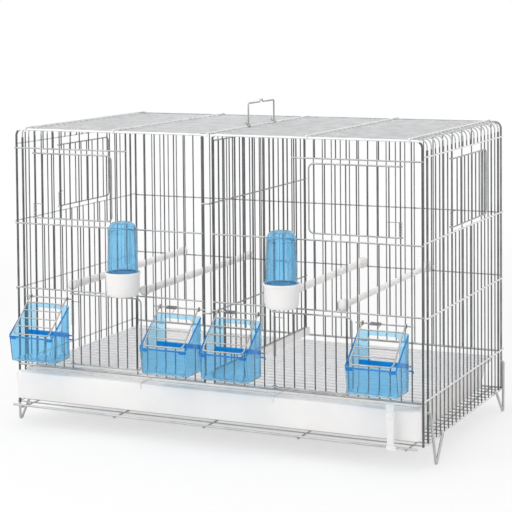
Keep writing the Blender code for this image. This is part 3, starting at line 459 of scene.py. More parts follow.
def front_half(name, outer, inner, short, cups):
    """One half of the front with its frame wire, rails and guard rails."""
    way = 1 if inner > outer else -1
    outer_x, inner_x = wire_x(outer), wire_x(inner)
    middle = on_front((outer_x + inner_x) / 2, 0, TOP_Z)
    over = [on_front(outer_x, 0, BASE_Z - FRAME_R), on_front(outer_x, 0, TOP_Z), middle]
    down = [middle, on_front(inner_x, 0, TOP_Z), on_front(inner_x, 0, RAIL_D_Z - RAIL_R)]
    border = wire(bent(over, BEND_R, 8)[:-1] + bent(down, BEND_R / 2, 6)[1:], FRAME_R, plating_painted_deep_shade, 2)
    # The top run of the frame wire takes the brightest copy of the plating, a painted highlight along the
    # roof edge; the rest of the wire keeps the painted-shade copy.
    border.data.materials.append(plating_painted_highlight)
    for face in border.data.polygons:
        face.material_index = int(face.center.z > TOP_Z - FRAME_R)
    ends = (outer_x, inner_x + way * RAIL_R)
    parts = [border, rail(on_front, ends, 0, RAIL_D_Z, radius=FRAME_R, roundness=2)]
    for last, z in ((inner, RAIL_B_Z), (inner, RAIL_C_Z), (short, RAIL_A_Z)):
        past = 0 if last == inner else RAIL_END
        parts.append(rail(on_front, (outer_x - way * RAIL_END, wire_x(last) + way * past), RAIL_OUT, z))
    for first, last in cups:
        start, end = wire_x(first) - RAIL_END, wire_x(last) + RAIL_END
        parts.append(rail(on_front, (start, end), GUARD_RAIL_OUT, GUARD_RAIL_Z))
        parts.append(rail(on_front, (start + PITCH, end), RAIL_OUT, SILL_Z))
    indexes = range(min(outer, inner) + 1, max(outer, inner))
    parts += uprights(on_front, indexes, PITCH, 0, RAIL_D_Z, TOP_Z, OPENINGS, plating_painted_deep_shade, -HALF_WIDTH)
    return dress(gathered(name, parts), "cage", "plated_wire", name.replace("wires", "mesh"))


front_half("front_wires_left", 0, 20, 12, CUP_WIRES[:2])
front_half("front_wires_right", 41, 21, 29, CUP_WIRES[2:])

# %% [markdown]
# Back and sides
# The back is one closed mesh. On the sides the rails lie outside the uprights and their ends hold
# round the corner wires. Each side has an opening behind its small door.

# %% Back
ends = (-HALF_WIDTH, HALF_WIDTH)
route = [on_back(-HALF_WIDTH, 0, BASE_Z - FRAME_R), on_back(-HALF_WIDTH, 0, TOP_Z)]
route += [on_back(HALF_WIDTH, 0, TOP_Z), on_back(HALF_WIDTH, 0, BASE_Z - FRAME_R)]
parts = [wire(bent(route, BEND_R, 8), FRAME_R, plating_painted_half_shade, 2)]
parts.append(rail(on_back, ends, 0, RAIL_D_Z, radius=FRAME_R, roundness=2))
parts += [rail(on_back, ends, RAIL_OUT, z) for z in (BACK_B_Z, BACK_C_Z)]
indexes = range(1, STEPS_WIDE)
parts += uprights(on_back, indexes, PITCH, 0, RAIL_D_Z, TOP_Z, [], plating_painted_half_shade, -HALF_WIDTH)
dress(gathered("back_wires", parts), "cage", "plated_wire", "back_mesh")

# %% Sides
ends = (-RAIL_END, DEPTH + RAIL_END)
indexes = range(2, STEPS_DEEP - 1)
opening = [(*SIDE_OPENING, SIDE_B_Z, SIDE_A_Z)]
for name, place in SIDES:
    # The side rails and the top side rail take the brightest copy of the plating, a painted highlight.
    parts = [rail(place, ends, REST_OUT, z, plating_painted_highlight) for z in (SIDE_B_Z, SIDE_C_Z, SIDE_D_Z, BASE_Z)]
    parts.append(rail(place, (FRAME_R, DEPTH - FRAME_R), FLUSH + RAIL_OUT, SIDE_A_Z, plating_painted_highlight))
    parts += uprights(place, indexes, SIDE_PITCH, FLUSH, BASE_Z, SIDE_TOP_Z, opening, plating_painted_shade)
    for along in (SIDE_PITCH, SIDE_PITCH * (STEPS_DEEP - 1)):
        thick = [place(along, FLUSH, BASE_Z), place(along, FLUSH, SIDE_TOP_Z)]
        parts.append(wire(thick, FRAME_R, plating_painted_shade, 2))
    piece = gathered(name + "_side_wires", parts)
    dress(piece, "cage", "plated_wire", name + "_side_mesh", name + "_side_top")

# %% [markdown]
# Roof
# The side wires run on over the roof, so each cross wire ends in a bend. Five bars lie on them from
# front to back, and each hooks over the front frame wire.

# %% Roof
ROOF_BARS = {1: -0.2905, 2: -0.1465, 4: 0.1465, 5: 0.2905}
ROOF_HOOK = 0.0028
ROOF_HOOK_R = 0.0026


def roof_bar(x, lift, rear):
    """A bar from the back to the hook on the front frame wire."""
    y, z = FRONT_Y - REST_OUT, TOP_Z + lift
    return wire(bent([(x, rear, z), (x, y, z), (x, y, TOP_Z - ROOF_HOOK)], ROOF_HOOK_R), RAIL_R, plating_painted_highlight)


side, y, z = HALF_WIDTH + FLUSH, FRONT_Y + SIDE_PITCH, TOP_Z + FLUSH
route = [(-side, y, SIDE_TOP_Z), (-side, y, z), (side, y, z), (side, y, SIDE_TOP_Z)]
parts = [repeated(wire(bent(route, BEND_R), WIRE_R, plating_painted_bright_light), STEPS_DEEP - 1, (0, SIDE_PITCH, 0))]
parts.append(roof_bar(0, FLUSH + WIRE_R + RAIL_R - GAP, BACK_Y - FRAME_R))
dress(gathered("roof_wires", parts), "cage", "plated_wire", "roof_mesh")
for number, x in ROOF_BARS.items():
    bar = roof_bar(x, REST_OUT, BACK_Y + FRAME_R)
    bar.name = "roof_bar_wire_" + str(number)
    dress(bar, "cage", "plated_wire", "roof_bar_" + str(number))

# %% [markdown]
# Base and floor grille
# Under the tray the base has a thick wire in front and one behind, and thin ones between them. The
# floor grille above the tray is coated in a pale bluish white. Both have their wires from side to
# side, on a few bars from front to back.

# %% Base
BASE_BARS = (-0.2905, -0.140, 0.0, 0.140, 0.2905)
BASE_CURL_TURN = math.radians(12)
BASE_CURL_STEPS = 8

half = HALF_WIDTH - FRAME_R
kick_y = FRONT_Y - KICK_REACH
parts = []
for y in (kick_y, BACK_Y):
    parts.append(wire([(-half, y, BASE_Z), (half, y, BASE_Z)], FRAME_R, plating_painted_bright_light, 2))
across = wire([(-half, FRONT_Y, BASE_Z), (half, FRONT_Y, BASE_Z)], WIRE_R, plating_painted_bright_light)
parts.append(repeated(across, STEPS_DEEP, (0, SIDE_PITCH, 0)))
reach = FRAME_R + RAIL_R
for x in BASE_BARS:
    route = [(x, BACK_Y + FRAME_R, BASE_Z - reach), (x, kick_y + reach, BASE_Z - reach)]
    for step in range(BASE_CURL_STEPS + 1):
        turn = BASE_CURL_TURN * step
        route.append((x, kick_y - reach * math.sin(turn), BASE_Z - reach * math.cos(turn)))
    parts.append(wire(route, RAIL_R, plating_painted_bright_light))
dress(gathered("base_wires", parts), "cage", "plated_wire", "base_mesh")

# %% Floor grille
GRILLE_HOOKS = (-0.101, 0.100)
GRILLE_HOOK_START = 0.02
GRILLE_HOOK_DROP = 0.006
GRILLE_HOOK_R = 0.0015
GRILLE_STEPS = 20
GRILLE_WIRE_R = WIRE_R * 1.15

low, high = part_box("floor_grille")
z = (low.z + high.z) / 2
half = high.x - FRAME_R
first, last = low.y + FRAME_R, high.y - FRAME_R
parts = [wire([(x, first, z), (x, last, z)], FRAME_R, pale_coating, 2) for x in (-half, half)]
across = wire([(-half, first, z), (half, first, z)], GRILLE_WIRE_R, pale_coating)
parts.append(repeated(across, GRILLE_STEPS + 1, (0, (last - first) / GRILLE_STEPS, 0)))
under = z - WIRE_R
for x in (-half / 3, half / 3):
    parts.append(wire([(x, first, under), (x, last, under)], WIRE_R, pale_coating))
face = FRONT_Y - FACE_REACH - WIRE_R
for x in GRILLE_HOOKS:
    route = [(x, first + GRILLE_HOOK_START, under), (x, face, under + GAP)]
    route.append((x, face, TRAY_RIM_Z - GRILLE_HOOK_DROP))
    parts.append(wire(bent(route, GRILLE_HOOK_R), WIRE_R, pale_coating))
dress(gathered("floor_wires", parts), "grille", "grille_wire", "floor_grille")

# %% [markdown]
# Doors
# Each door is one long wire bent into a rectangle. Its two free ends curl round an upright, and that
# is the whole hinge. Shorter uprights are welded across it.

# %% Door wires
DOOR_R = 0.0011
DOOR_BEND_R = 0.007
CURL_R = WIRE_R + GAP + DOOR_R
CURL_TURN = math.radians(270)
CURL_STEPS = 12


def curl(place_at, radius):
    """An open ring that starts behind the hinge wire and comes round to the front."""
    turns = [CURL_TURN * (1 - step / CURL_STEPS) for step in range(CURL_STEPS + 1)]
    return [place_at(-radius * math.sin(turn), radius * math.cos(turn)) for turn in turns]


def curled_frame(spot, sides, reach, ring_r, radius, bend, look):
    """A wire bent into a rectangle, whose two ends curl round the hinge wire."""
    first, last = [curl(lambda away, raised: spot(side, away, raised), ring_r) for side in sides]
    corners = [(sides[0], 0), (sides[0], reach), (sides[1], reach), (sides[1], 0)]
    middle = bent([spot(side, away, ring_r) for side, away in corners], bend, 8)[1:-1]
    return wire(first + middle + last[::-1], radius, look, 2)


def door_wires(node, place, hinge, width, heights, step, look):
    """The frame wire of a door and the uprights welded to it."""
    low, high = heights
    way = 1 if width > 0 else -1
    border = curled_frame(lambda z, away, out: place(hinge + way * away, out, z), (high, low),
                          abs(width), CURL_R, DOOR_R, DOOR_BEND_R, plating_painted_light)
    count = int((abs(width) - DOOR_R) / step)
    first = place(hinge + way * step, CURL_R, low)
    stride = place(way * step, 0, 0) - place(0, 0, 0)
    upright = wire([first, first + Vector((0, 0, high - low))], WIRE_R, look)
    parts = [border, repeated(upright, count, stride)]
    return dress(gathered(node + "_wires", parts), node, "plated_wire", node)


def flush(place):
    """The uprights of a side stand a little further out than its corner wires."""
    return lambda along, out, z: place(along, out + FLUSH, z)


DOORS = {
    "upper_left": (wire_x(2), 0.1275, (0.2987, 0.391)),
    "upper_right": (wire_x(39), -0.1275, (0.2987, 0.391)),
    "lower_left": (wire_x(6), 0.1125, (0.0925, 0.1927)),
    "lower_right": (wire_x(27), 0.1125, (0.0886, 0.19)),
}
SIDE_HINGE = SIDE_OPENING[0] * SIDE_PITCH
SIDE_DOOR = (0.1498, (0.2995, 0.392))
for name, (hinge, width, heights) in DOORS.items():
    door_wires("door_" + name, on_front, hinge, width, heights, PITCH, plating_painted_deep_shade)
for name, place in SIDES:
    door_wires("side_door_" + name, flush(place), SIDE_HINGE, *SIDE_DOOR, SIDE_PITCH, plating_painted_shade)

# %% [markdown]
# Springs
# A thin coil round each hinge wire pushes the door shut. It is a helix from a formula, and its last
# turn runs out into a straight arm that bears on the door.

# %% Spring wires
SPRING_R = 0.0005
SPRING_SLACK = 0.0005
COIL_POINTS = 14
ARM_REACH = 0.003


def spring_wire(node, place_at, length, turns, inner_r, arm, body):
    """A coil along the hinge with an arm at its far end."""
    radius = inner_r + SPRING_SLACK + SPRING_R
    route = []
    for index in range(turns * COIL_POINTS + 1):
        turn = math.tau * index / COIL_POINTS
        rise = length * index / (turns * COIL_POINTS)
        route.append(place_at(radius * math.sin(turn), radius * math.cos(turn), rise))
    route.append(place_at(arm, radius + ARM_REACH, length))
    piece = wire(route, SPRING_R, spring_steel)
    piece.name = node + "_coil"
    return dress(piece, body, "spring_steel", node)


SPRINGS = {"upper_left": (0.3012, 0.319, 9), "upper_right": (0.3012, 0.319, 9)}
SPRINGS |= {"lower_left": (0.147, 0.182, 14), "lower_right": (0.129, 0.183, 20)}
SIDE_SPRING = (0.302, 0.019, 9)
ARM = 0.0165


def hinge_place(place, hinge, way, low):
    """Places round a hinge, from the foot of its spring up."""
    return lambda along, out, rise: place(hinge + way * along, out, low + rise)


for name, (low, high, turns) in SPRINGS.items():
    hinge, width, _ = DOORS[name]
    at = hinge_place(on_front, hinge, math.copysign(1, width), low)
    spring_wire("spring_" + name, at, high - low, turns, WIRE_R, ARM, "door_" + name)
for name, place in SIDES:
    low, length, turns = SIDE_SPRING
    at = hinge_place(flush(place), SIDE_HINGE, 1, low)
    spring_wire("spring_side_" + name, at, length, turns, WIRE_R, ARM, "side_door_" + name)

# %% [markdown]
# Shaping helpers
# The plastic parts start as cubes and cylinders. Faces and corners are picked by their place, then
# moved, bevelled, hollowed and thickened in edit mode or with modifiers.

# %% Edit helpers
def cube_between(name, low, high):
    """A cube stretched between two corners, with its place in its mesh."""
    bpy.ops.object.select_all(action="DESELECT")
    low, high = Vector(low), Vector(high)
    bpy.ops.mesh.primitive_cube_add(size=1, location=(low + high) / 2)
    piece = bpy.context.object
    piece.name = name
    piece.scale = high - low
    bpy.ops.object.transform_apply()
    return piece


def pick(piece, kind, test):
    """Selects the vertices, edges or faces that pass a test of their place p and of themselves, e."""
    only(piece)
    bpy.ops.object.mode_set(mode="EDIT")
    bpy.ops.mesh.select_mode(type=kind)
    bpy.ops.mesh.select_all(action="DESELECT")
    body = bmesh.from_edit_mesh(piece.data)
    for item in {"VERT": body.verts, "EDGE": body.edges, "FACE": body.faces}[kind]:
        middle = item.co if kind == "VERT" else sum((v.co for v in item.verts), Vector()) / len(item.verts)
        if test(middle, item):
            item.select_set(True)
    body.select_flush_mode()
    bmesh.update_edit_mesh(piece.data)


def done(piece):
    """Leaves edit mode."""
    bpy.ops.object.mode_set(mode="OBJECT")
    return piece


def height_of(edge):
    """How far an edge reaches in height."""
    return abs(edge.verts[0].co.z - edge.verts[1].co.z)


def depth_of(edge):
    """How far an edge reaches from front to back."""
    return abs(edge.verts[0].co.y - edge.verts[1].co.y)


def shifted(piece, move, test):
    """Moves the vertices that pass a test."""
    pick(piece, "VERT", test)
    bpy.ops.transform.translate(value=move)
    return done(piece)


def opened(piece, test):
    """Deletes the faces that pass a test."""
    pick(piece, "FACE", test)
    bpy.ops.mesh.delete(type="FACE")
    return done(piece)


def rounded(piece, radius, segments, test=lambda p, e: True):
    """Bevels the edges that pass a test, or all of them."""
    pick(piece, "EDGE", test)
    bpy.ops.mesh.bevel(offset=radius, segments=segments, affect="EDGES")
    return done(piece)


def walled(piece, thickness):
    """Gives a shell its wall, on its inside."""
    return applied(piece, "SOLIDIFY", thickness=thickness, offset=-1, use_even_offset=True)


def cut(piece, cutter):
    """Cuts one piece out of another and removes it."""
    applied(piece, "BOOLEAN", operation="DIFFERENCE", object=cutter, solver="EXACT")
    bpy.data.objects.remove(cutter)
    return piece


def coat(piece, look, angle=35):
    """Gives a piece its finish and smooths all but its sharp edges."""
    piece.data.materials.clear()
    piece.data.materials.append(look)
    only(piece)
    bpy.ops.object.shade_smooth_by_angle(angle=math.radians(angle))
    return piece


# %% [markdown]
# Seed cups
# The cups are moulded in clear blue plastic. The front wall is low and leans in towards the bottom,
# and the sides slope up to the back, where a window lets a bird reach in. Two thick tabs hold
# the lip of the guard, and a small arm at the right hooks on the next wire.

# %% Seed cups
CUP_WIDTH = 0.071
CUP_BACK_REACH, CUP_FRONT_REACH = 0.0037, 0.054
CUP_BACK, CUP_FRONT = FRONT_Y - CUP_BACK_REACH, FRONT_Y - CUP_FRONT_REACH
CUP_WALL = 0.0018
CUP_FLOOR_Z, CUP_LIP_Z, CUP_TOP_Z = 0.100, 0.1365, 0.176
CUP_SLOPE = (CUP_TOP_Z - CUP_LIP_Z) / (CUP_FRONT_REACH - CUP_BACK_REACH)
CUP_DRAFT = 0.006
CUP_CORNER_R, CUP_FOOT_R = 0.0035, 0.0025
CUP_RIM_R = CUP_WALL / 2 * 1.1
RIM_START = 0.003
WINDOW_WIDTH = 0.043
WINDOW_Z = (0.137, 0.170)
WINDOW_CORNER_R = 0.005
WINDOW_CUT = 0.004
TAB_X, TAB_HALF, TAB_HIGH = 0.0295, 0.0045, 0.0045
TAB_IN, TAB_DEEP = 0.0004, 0.005
BAND_LOW_Z = 0.1305
BAND_OUT = (0.0008, 0.0001)
ARM_Z, ARM_END_Z = 0.127, 0.1243
ARM_OUT = 0.0048
ARM_R, ARM_BEND_R = 0.0011, 0.0012


def cup_shell(name, x):
    """The open cup with its wall, before its window is cut."""
    half = CUP_WIDTH / 2
    cup = cube_between(name, (x - half, CUP_FRONT, CUP_FLOOR_Z), (x + half, CUP_BACK, CUP_TOP_Z))
    near, low = CUP_FRONT + GAP, CUP_FLOOR_Z + GAP
    shifted(cup, (0, 0, CUP_LIP_Z - CUP_TOP_Z), lambda p, e: p.y < near and p.z > CUP_LIP_Z)
    shifted(cup, (0, CUP_DRAFT, 0), lambda p, e: p.y < near and p.z < low)
    opened(cup, lambda p, e: e.normal.z > 0.5)
    rounded(cup, CUP_CORNER_R, 4, lambda p, e: low + GAP < p.z < CUP_TOP_Z - 0.01
            and abs(p.x - x) > half - GAP
            and height_of(e) > CUP_DRAFT and depth_of(e) < 2 * CUP_DRAFT)
    rounded(cup, CUP_FOOT_R, 3, lambda p, e: p.z < low and len(e.link_faces) == 2)
    return walled(cup, CUP_WALL)


def seed_cup(number, x):
    """A cup with a sloping rim, a window, a band under it, tabs and a hooked arm."""
    name = "seed_cup_" + str(number)
    cup = cup_shell(name, x)
    hole = cube_between("window", (x - WINDOW_WIDTH / 2, CUP_BACK - WINDOW_CUT, WINDOW_Z[0]),
                        (x + WINDOW_WIDTH / 2, CUP_BACK + WINDOW_CUT, WINDOW_Z[1]))
    rounded(hole, WINDOW_CORNER_R, 4, lambda p, e: depth_of(e) > GAP)
    parts = [coat(cut(cup, hole), tinted_blue)]
    for side in (-1, 1):
        tab_x = x + side * TAB_X
        tab = cube_between("tab", (tab_x - TAB_HALF, CUP_FRONT + TAB_IN, CUP_LIP_Z - TAB_HIGH),
                           (tab_x + TAB_HALF, CUP_FRONT + TAB_DEEP, CUP_LIP_Z - TAB_IN))
        parts.append(coat(rounded(tab, 0.0009, 2), deep_blue))
    inner = (CUP_WIDTH - CUP_WALL) / 2
    for side in (-1, 1):
        rim_x = x + side * inner
        ends = [(rim_x, CUP_FRONT + RIM_START, CUP_LIP_Z + CUP_SLOPE * RIM_START - CUP_RIM_R),
                (rim_x, CUP_BACK - CUP_WALL, CUP_TOP_Z - CUP_SLOPE * CUP_WALL - CUP_RIM_R)]
        parts.append(wire(ends, CUP_RIM_R, deep_blue, 2))
    lip_y, lip_z = CUP_FRONT + CUP_WALL / 2 + GAP, CUP_LIP_Z - CUP_RIM_R
    parts.append(wire([(x - inner, lip_y, lip_z), (x + inner, lip_y, lip_z)], CUP_RIM_R, deep_blue, 2))
    wall_y = CUP_BACK - CUP_WALL
    band = cube_between("band", (x - inner + CUP_WALL / 2, wall_y - BAND_OUT[0], BAND_LOW_Z),
                        (x + inner - CUP_WALL / 2, wall_y - BAND_OUT[1], WINDOW_Z[0]))
    parts.append(coat(rounded(band, 0.0002, 1), deep_blue))
    start, end, arm_y = x + CUP_WIDTH / 2 - CUP_WALL, x + CUP_WIDTH / 2 + ARM_OUT, CUP_BACK - 0.0002
    arm = bent([(start, arm_y, ARM_Z), (end, arm_y, ARM_Z), (end, arm_y, ARM_END_Z)], ARM_BEND_R)
    parts.append(wire(arm, ARM_R, deep_blue, 2))
    body = "feeder_" + str(number)
    return dress(gathered(name, parts), body, "blue_plastic", body)


CUP_X = [(wire_x(first) + wire_x(last)) / 2 for first, last in CUP_WIRES]
for number, x in enumerate(CUP_X, 1):
    seed_cup(number, x)

# %% [markdown]
# Guards
# A ladder of warm-coloured wire lies over each cup and keeps its seed in and other birds out. It
# hangs from its own short rail by two curls, with a small spring on the rail of three of them.

# %% Guards
GUARD_R = 0.0010
RUNG_R = 0.00085
RUNGS = 4
RUNG_START = 0.012
GUARD_HALF = 0.030
GUARD_FOOT_REACH = 0.0515
GUARD_BEND_R = 0.006
GUARD_SPRING_X = -0.0195
GUARD_SPRING = (0.015, 9)
GUARD_ARM = 0.012


def guard_wires(number, x):
    """The ladder over a cup, and the spring that holds it down."""
    axis = Vector((x, FRONT_Y - GUARD_RAIL_OUT, GUARD_RAIL_Z))
    rim_z = CUP_LIP_Z + CUP_SLOPE * (CUP_FRONT_REACH - GUARD_FOOT_REACH)
    foot_z = rim_z + (GAP + GUARD_R) * math.sqrt(1 + CUP_SLOPE ** 2)
    foot = Vector((x, FRONT_Y - GUARD_FOOT_REACH, foot_z))
    ring_r = RAIL_R + GAP + GUARD_R
    length = math.sqrt((foot - axis).length_squared - ring_r ** 2)
    straight = (foot - axis).normalized()
    lift = Vector((0, straight.z, -straight.y))
    ahead = (straight * length - lift * ring_r).normalized()
    up = Vector((0, ahead.z, -ahead.y))

    def spot(along, away, raised):
        return axis + Vector((along, 0, 0)) + ahead * away + up * raised

    sides = (-GUARD_HALF, GUARD_HALF)
    parts = [curled_frame(spot, sides, length, ring_r, GUARD_R, GUARD_BEND_R, warm_plating)]
    for rung in range(RUNGS):
        away = RUNG_START + (length - RUNG_START) * rung / RUNGS
        parts.append(wire([spot(side, away, ring_r) for side in sides], RUNG_R, warm_plating))
    body = "guard_" + str(number)
    dress(gathered("guard_ladder_" + str(number), parts), body, "guard_wire", body)
    if number > 1:
        at = lambda away, raised, rise: spot(GUARD_SPRING_X + rise, away, raised)
        spring_wire("guard_spring_" + str(number), at, *GUARD_SPRING, RAIL_R, GUARD_ARM, body)


for number, x in enumerate(CUP_X, 1):
    guard_wires(number, x)

# %% [markdown]
# Round pieces
# Bottles, cups and perches are round. A disc is extruded ring by ring and each new ring is scaled,
# which is how a lathe profile is built by hand.

# %% A helper for round pieces
def turned(name, profile, sides):
    """A round piece about Z, grown from a disc through (radius, height) pairs."""
    bpy.ops.object.select_all(action="DESELECT")
    radius, height = profile[0]
    middle = (0, 0, height)
    bpy.ops.mesh.primitive_circle_add(vertices=sides, radius=radius, location=middle, fill_type="NGON")
    piece = bpy.context.object
    piece.name = name
    bpy.ops.object.transform_apply()
    bpy.ops.object.mode_set(mode="EDIT")
    bpy.ops.mesh.select_all(action="SELECT")
    for (r0, z0), (r1, z1) in zip(profile, profile[1:]):
        bpy.ops.mesh.extrude_region_move(TRANSFORM_OT_translate={"value": (0, 0, z1 - z0)})
        bpy.ops.transform.resize(value=(r1 / r0, r1 / r0, 1))
    bpy.ops.mesh.select_all(action="SELECT")
    bpy.ops.mesh.normals_make_consistent(inside=False)
    return done(piece)


def laid(piece, turn, place):
    """Turns a piece and puts it in its place, inside its mesh."""
    only(piece)
    piece.rotation_euler = turn
    piece.location = place
    bpy.ops.object.transform_apply()
    return piece


def fluted(piece, low, high, share_at):
    """Draws a round piece in between two heights, by a share that changes with the turn."""
    for vertex in piece.data.vertices:
        if low < vertex.co.z < high:
            share = share_at(math.atan2(vertex.co.y, vertex.co.x))
            vertex.co.x, vertex.co.y = vertex.co.x * share, vertex.co.y * share


# %% [markdown]
# Drinker cups
# A clear blue bottle stands upside down in a white cup, and water follows as the birds drink. The cup
# is a round piece, and a square spout with a deep hollow brings the water inside.

# %% Drinker cups
DRINKER_X = {"left": -0.120, "right": 0.120}
DRINKER_R = 0.0245
DRINKER_WALL = 0.0016
DRINKER_LOW, DRINKER_HIGH = 0.2005, 0.234
DRINKER_BACK = FRONT_Y - WIRE_R - GAP
SPOUT_HALF = 0.00575
SPOUT_LOW, SPOUT_HIGH = 0.204, 0.222
SPOUT_END, SPOUT_ROOT = FRONT_Y + 0.012, DRINKER_BACK - 0.003
SPOUT_WALL, SPOUT_DEEP, SPOUT_CORNER_R = 0.0014, 0.015, 0.0015

# Each pair is a step in from the widest radius, and a step up from the foot or down from the top.
CUP_FOOT = ((0.0075, 0), (0.0052, 0.0004), (0.0034, 0.0017), (0.0022, 0.0040), (0.0014, 0.0080))
CUP_RIM = ((0.0010, 0.0035), (0, 0.0028), (0, 0.0004), (0.0004, 0), (0.0013, 0), (0.0016, 0.0004))
CUP_INSIDE = ((0.0050, 0.004), (0.0075, 0.003))

profile = [(DRINKER_R - step, DRINKER_LOW + rise) for step, rise in CUP_FOOT]
profile += [(DRINKER_R - step, DRINKER_HIGH - drop) for step, drop in CUP_RIM]
profile += [(DRINKER_R - step, DRINKER_LOW + rise) for step, rise in CUP_INSIDE]


def drinker_dish(side, x):
    """The cup of one side with its square spout."""
    cup = laid(turned("cup", profile, 64), (0, 0, 0), (x, DRINKER_BACK - DRINKER_R, 0))
    spout = cube_between("spout", (x - SPOUT_HALF, SPOUT_ROOT, SPOUT_LOW),
                         (x + SPOUT_HALF, SPOUT_END, SPOUT_HIGH))
    pick(spout, "FACE", lambda p, e: e.normal.z > 0.9)
    bpy.ops.mesh.inset(thickness=SPOUT_WALL)
    bpy.ops.mesh.extrude_region_move(TRANSFORM_OT_translate={"value": (0, 0, -SPOUT_DEEP)})
    done(spout)
    rounded(spout, SPOUT_CORNER_R, 3, lambda p, e: p.y > SPOUT_END - 0.001 and height_of(e) > 0.01)
    piece = gathered("drinker_dish_" + side, [cup, spout])
    dress(coat(piece, white_plastic), "cage", "white_plastic", "drinker_cup_" + side)

# %% [markdown]
# Bottles
# The bottle has fine flutes, a rounded shoulder and a wide foot with a darker band. It is grown as a
# solid, its flutes are drawn in, and it is then opened at the foot and given its thin wall. The cup
# of a side is made just before its bottle.

# %% Bottles
BOTTLE_R = 0.0214
BOTTLE_TOP_R = 0.0199
BOTTLE_FOOT_R = DRINKER_R - DRINKER_WALL - GAP
BOTTLE_WALL = 0.0011
BOTTLE_LOW, BOTTLE_HIGH = 0.226, 0.303
FOOT_TOP = BOTTLE_LOW + 0.0065
FLUTES = 20
FLUTE_SHARE = 0.0004 / BOTTLE_R
FLUTE_END = 0.0120
BAND_R, BAND_INSET, BAND_STEPS = 0.0008, 0.0009, 48
BOTTLE_TOP = ((0, 0.0150), (0.0010, 0.0140), (0, 0.0130), (0.0004, 0.0080), (0.0028, 0.0030))
BOTTLE_TOP += ((0.0065, 0.0005), (0.0090, 0), (0.0110, 0.0016))

outline = [(BOTTLE_R - 0.0010, BOTTLE_LOW), (BOTTLE_R - 0.0006, BOTTLE_LOW + 0.0005)]
outline += [(BOTTLE_R, FOOT_TOP - 0.0012), (BOTTLE_FOOT_R - 0.0003, FOOT_TOP - 0.0011)]
outline += [(BOTTLE_FOOT_R, FOOT_TOP - 0.0008), (BOTTLE_FOOT_R - 0.0003, FOOT_TOP)]
outline += [(BOTTLE_R + 0.0004, FOOT_TOP + 0.0001), (BOTTLE_R, FOOT_TOP + 0.0010)]
outline += [(BOTTLE_TOP_R - step, BOTTLE_HIGH - drop) for step, drop in BOTTLE_TOP]
ring_r = BOTTLE_FOOT_R - BAND_INSET
turns = [step / BAND_STEPS * math.tau for step in range(BAND_STEPS + 1)]
for side, x in DRINKER_X.items():
    drinker_dish(side, x)
    y = DRINKER_BACK - DRINKER_R
    bottle = turned("bottle", outline, FLUTES * 6)
    fluted(bottle, FOOT_TOP + GAP, BOTTLE_HIGH - FLUTE_END,
           lambda turn: 1 - FLUTE_SHARE * (1 - math.cos(turn * FLUTES)) / 2)
    opened(bottle, lambda p, e: p.z < BOTTLE_LOW + GAP and abs(e.normal.z) > 0.9)
    walled(bottle, BOTTLE_WALL)
    coat(laid(bottle, (0, 0, 0), (x, y, 0)), tinted_blue, 50)
    rim = [(x + ring_r * math.cos(turn), y + ring_r * math.sin(turn), FOOT_TOP + 0.0002) for turn in turns]
    piece = gathered("bottle_" + side, [bottle, wire(rim, BAND_R, deep_blue, 2)])
    dress(piece, "drinker_tube_" + side, "blue_plastic", "drinker_tube_" + side)

# %% [markdown]
# Perches
# Four white rods cross the cage from the front mesh to the back. They are pressed onto the mesh by
# wide caps, and the fourth rod is a little thinner.

# %% Perches
PERCH_Z = 0.204
ROD_RADII = (0.0052, 0.0052, 0.0052, 0.0042)
CAP_RADII = (0.0068, 0.0068, 0.0084, 0.0084)
CAP_LENGTH = 0.009
GROOVES = 8
GROOVE_SHARE = 0.06

start = FRONT_Y + WIRE_R + GAP
length = BACK_Y - WIRE_R - GAP - start
for number, (rod, cap) in enumerate(zip(ROD_RADII, CAP_RADII), 1):
    node = "perch_" + str(number)
    low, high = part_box(node)
    outline = [(cap - 0.0006, 0), (cap, 0.0006), (cap, CAP_LENGTH - 0.0014)]
    outline += [(cap - 0.0010, CAP_LENGTH - 0.0004), (rod + 0.0008, CAP_LENGTH), (rod, CAP_LENGTH + 0.0012)]
    outline += [(r, length - z) for r, z in reversed(outline)]
    piece = turned("perch_rod_" + str(number), outline, 48)
    fluted(piece, CAP_LENGTH, length - CAP_LENGTH,
           lambda turn: 1 - GROOVE_SHARE * max(0.0, math.cos(turn * GROOVES)) ** 2)
    laid(piece, (-math.pi / 2, 0, 0), (low.x + (high.x - low.x) / 2, start, PERCH_Z))
    slot = "grey_plastic" if number == 4 else "white_plastic"
    dress(coat(piece, white_plastic, 50), "cage", slot, node)

# %% [markdown]
# Divider
# A wire panel splits the cage in two for a pair of birds. It slides out through the slot in the
# front, hangs on two hooked rails and carries a white strip that runs along the floor grille.

# %% Divider
DIVIDER_TOP_Z = 0.4155
HOOKS_Z = (0.3307, 0.1805)
HOOK_Y = FRONT_Y - 0.0035
HOOK_X = -0.0085
DIVIDER_HOOK_R = 0.0025
GROOVE_HALF, GROOVE_DEEP, GROOVE_PAST = 0.0012, 0.003, 0.001

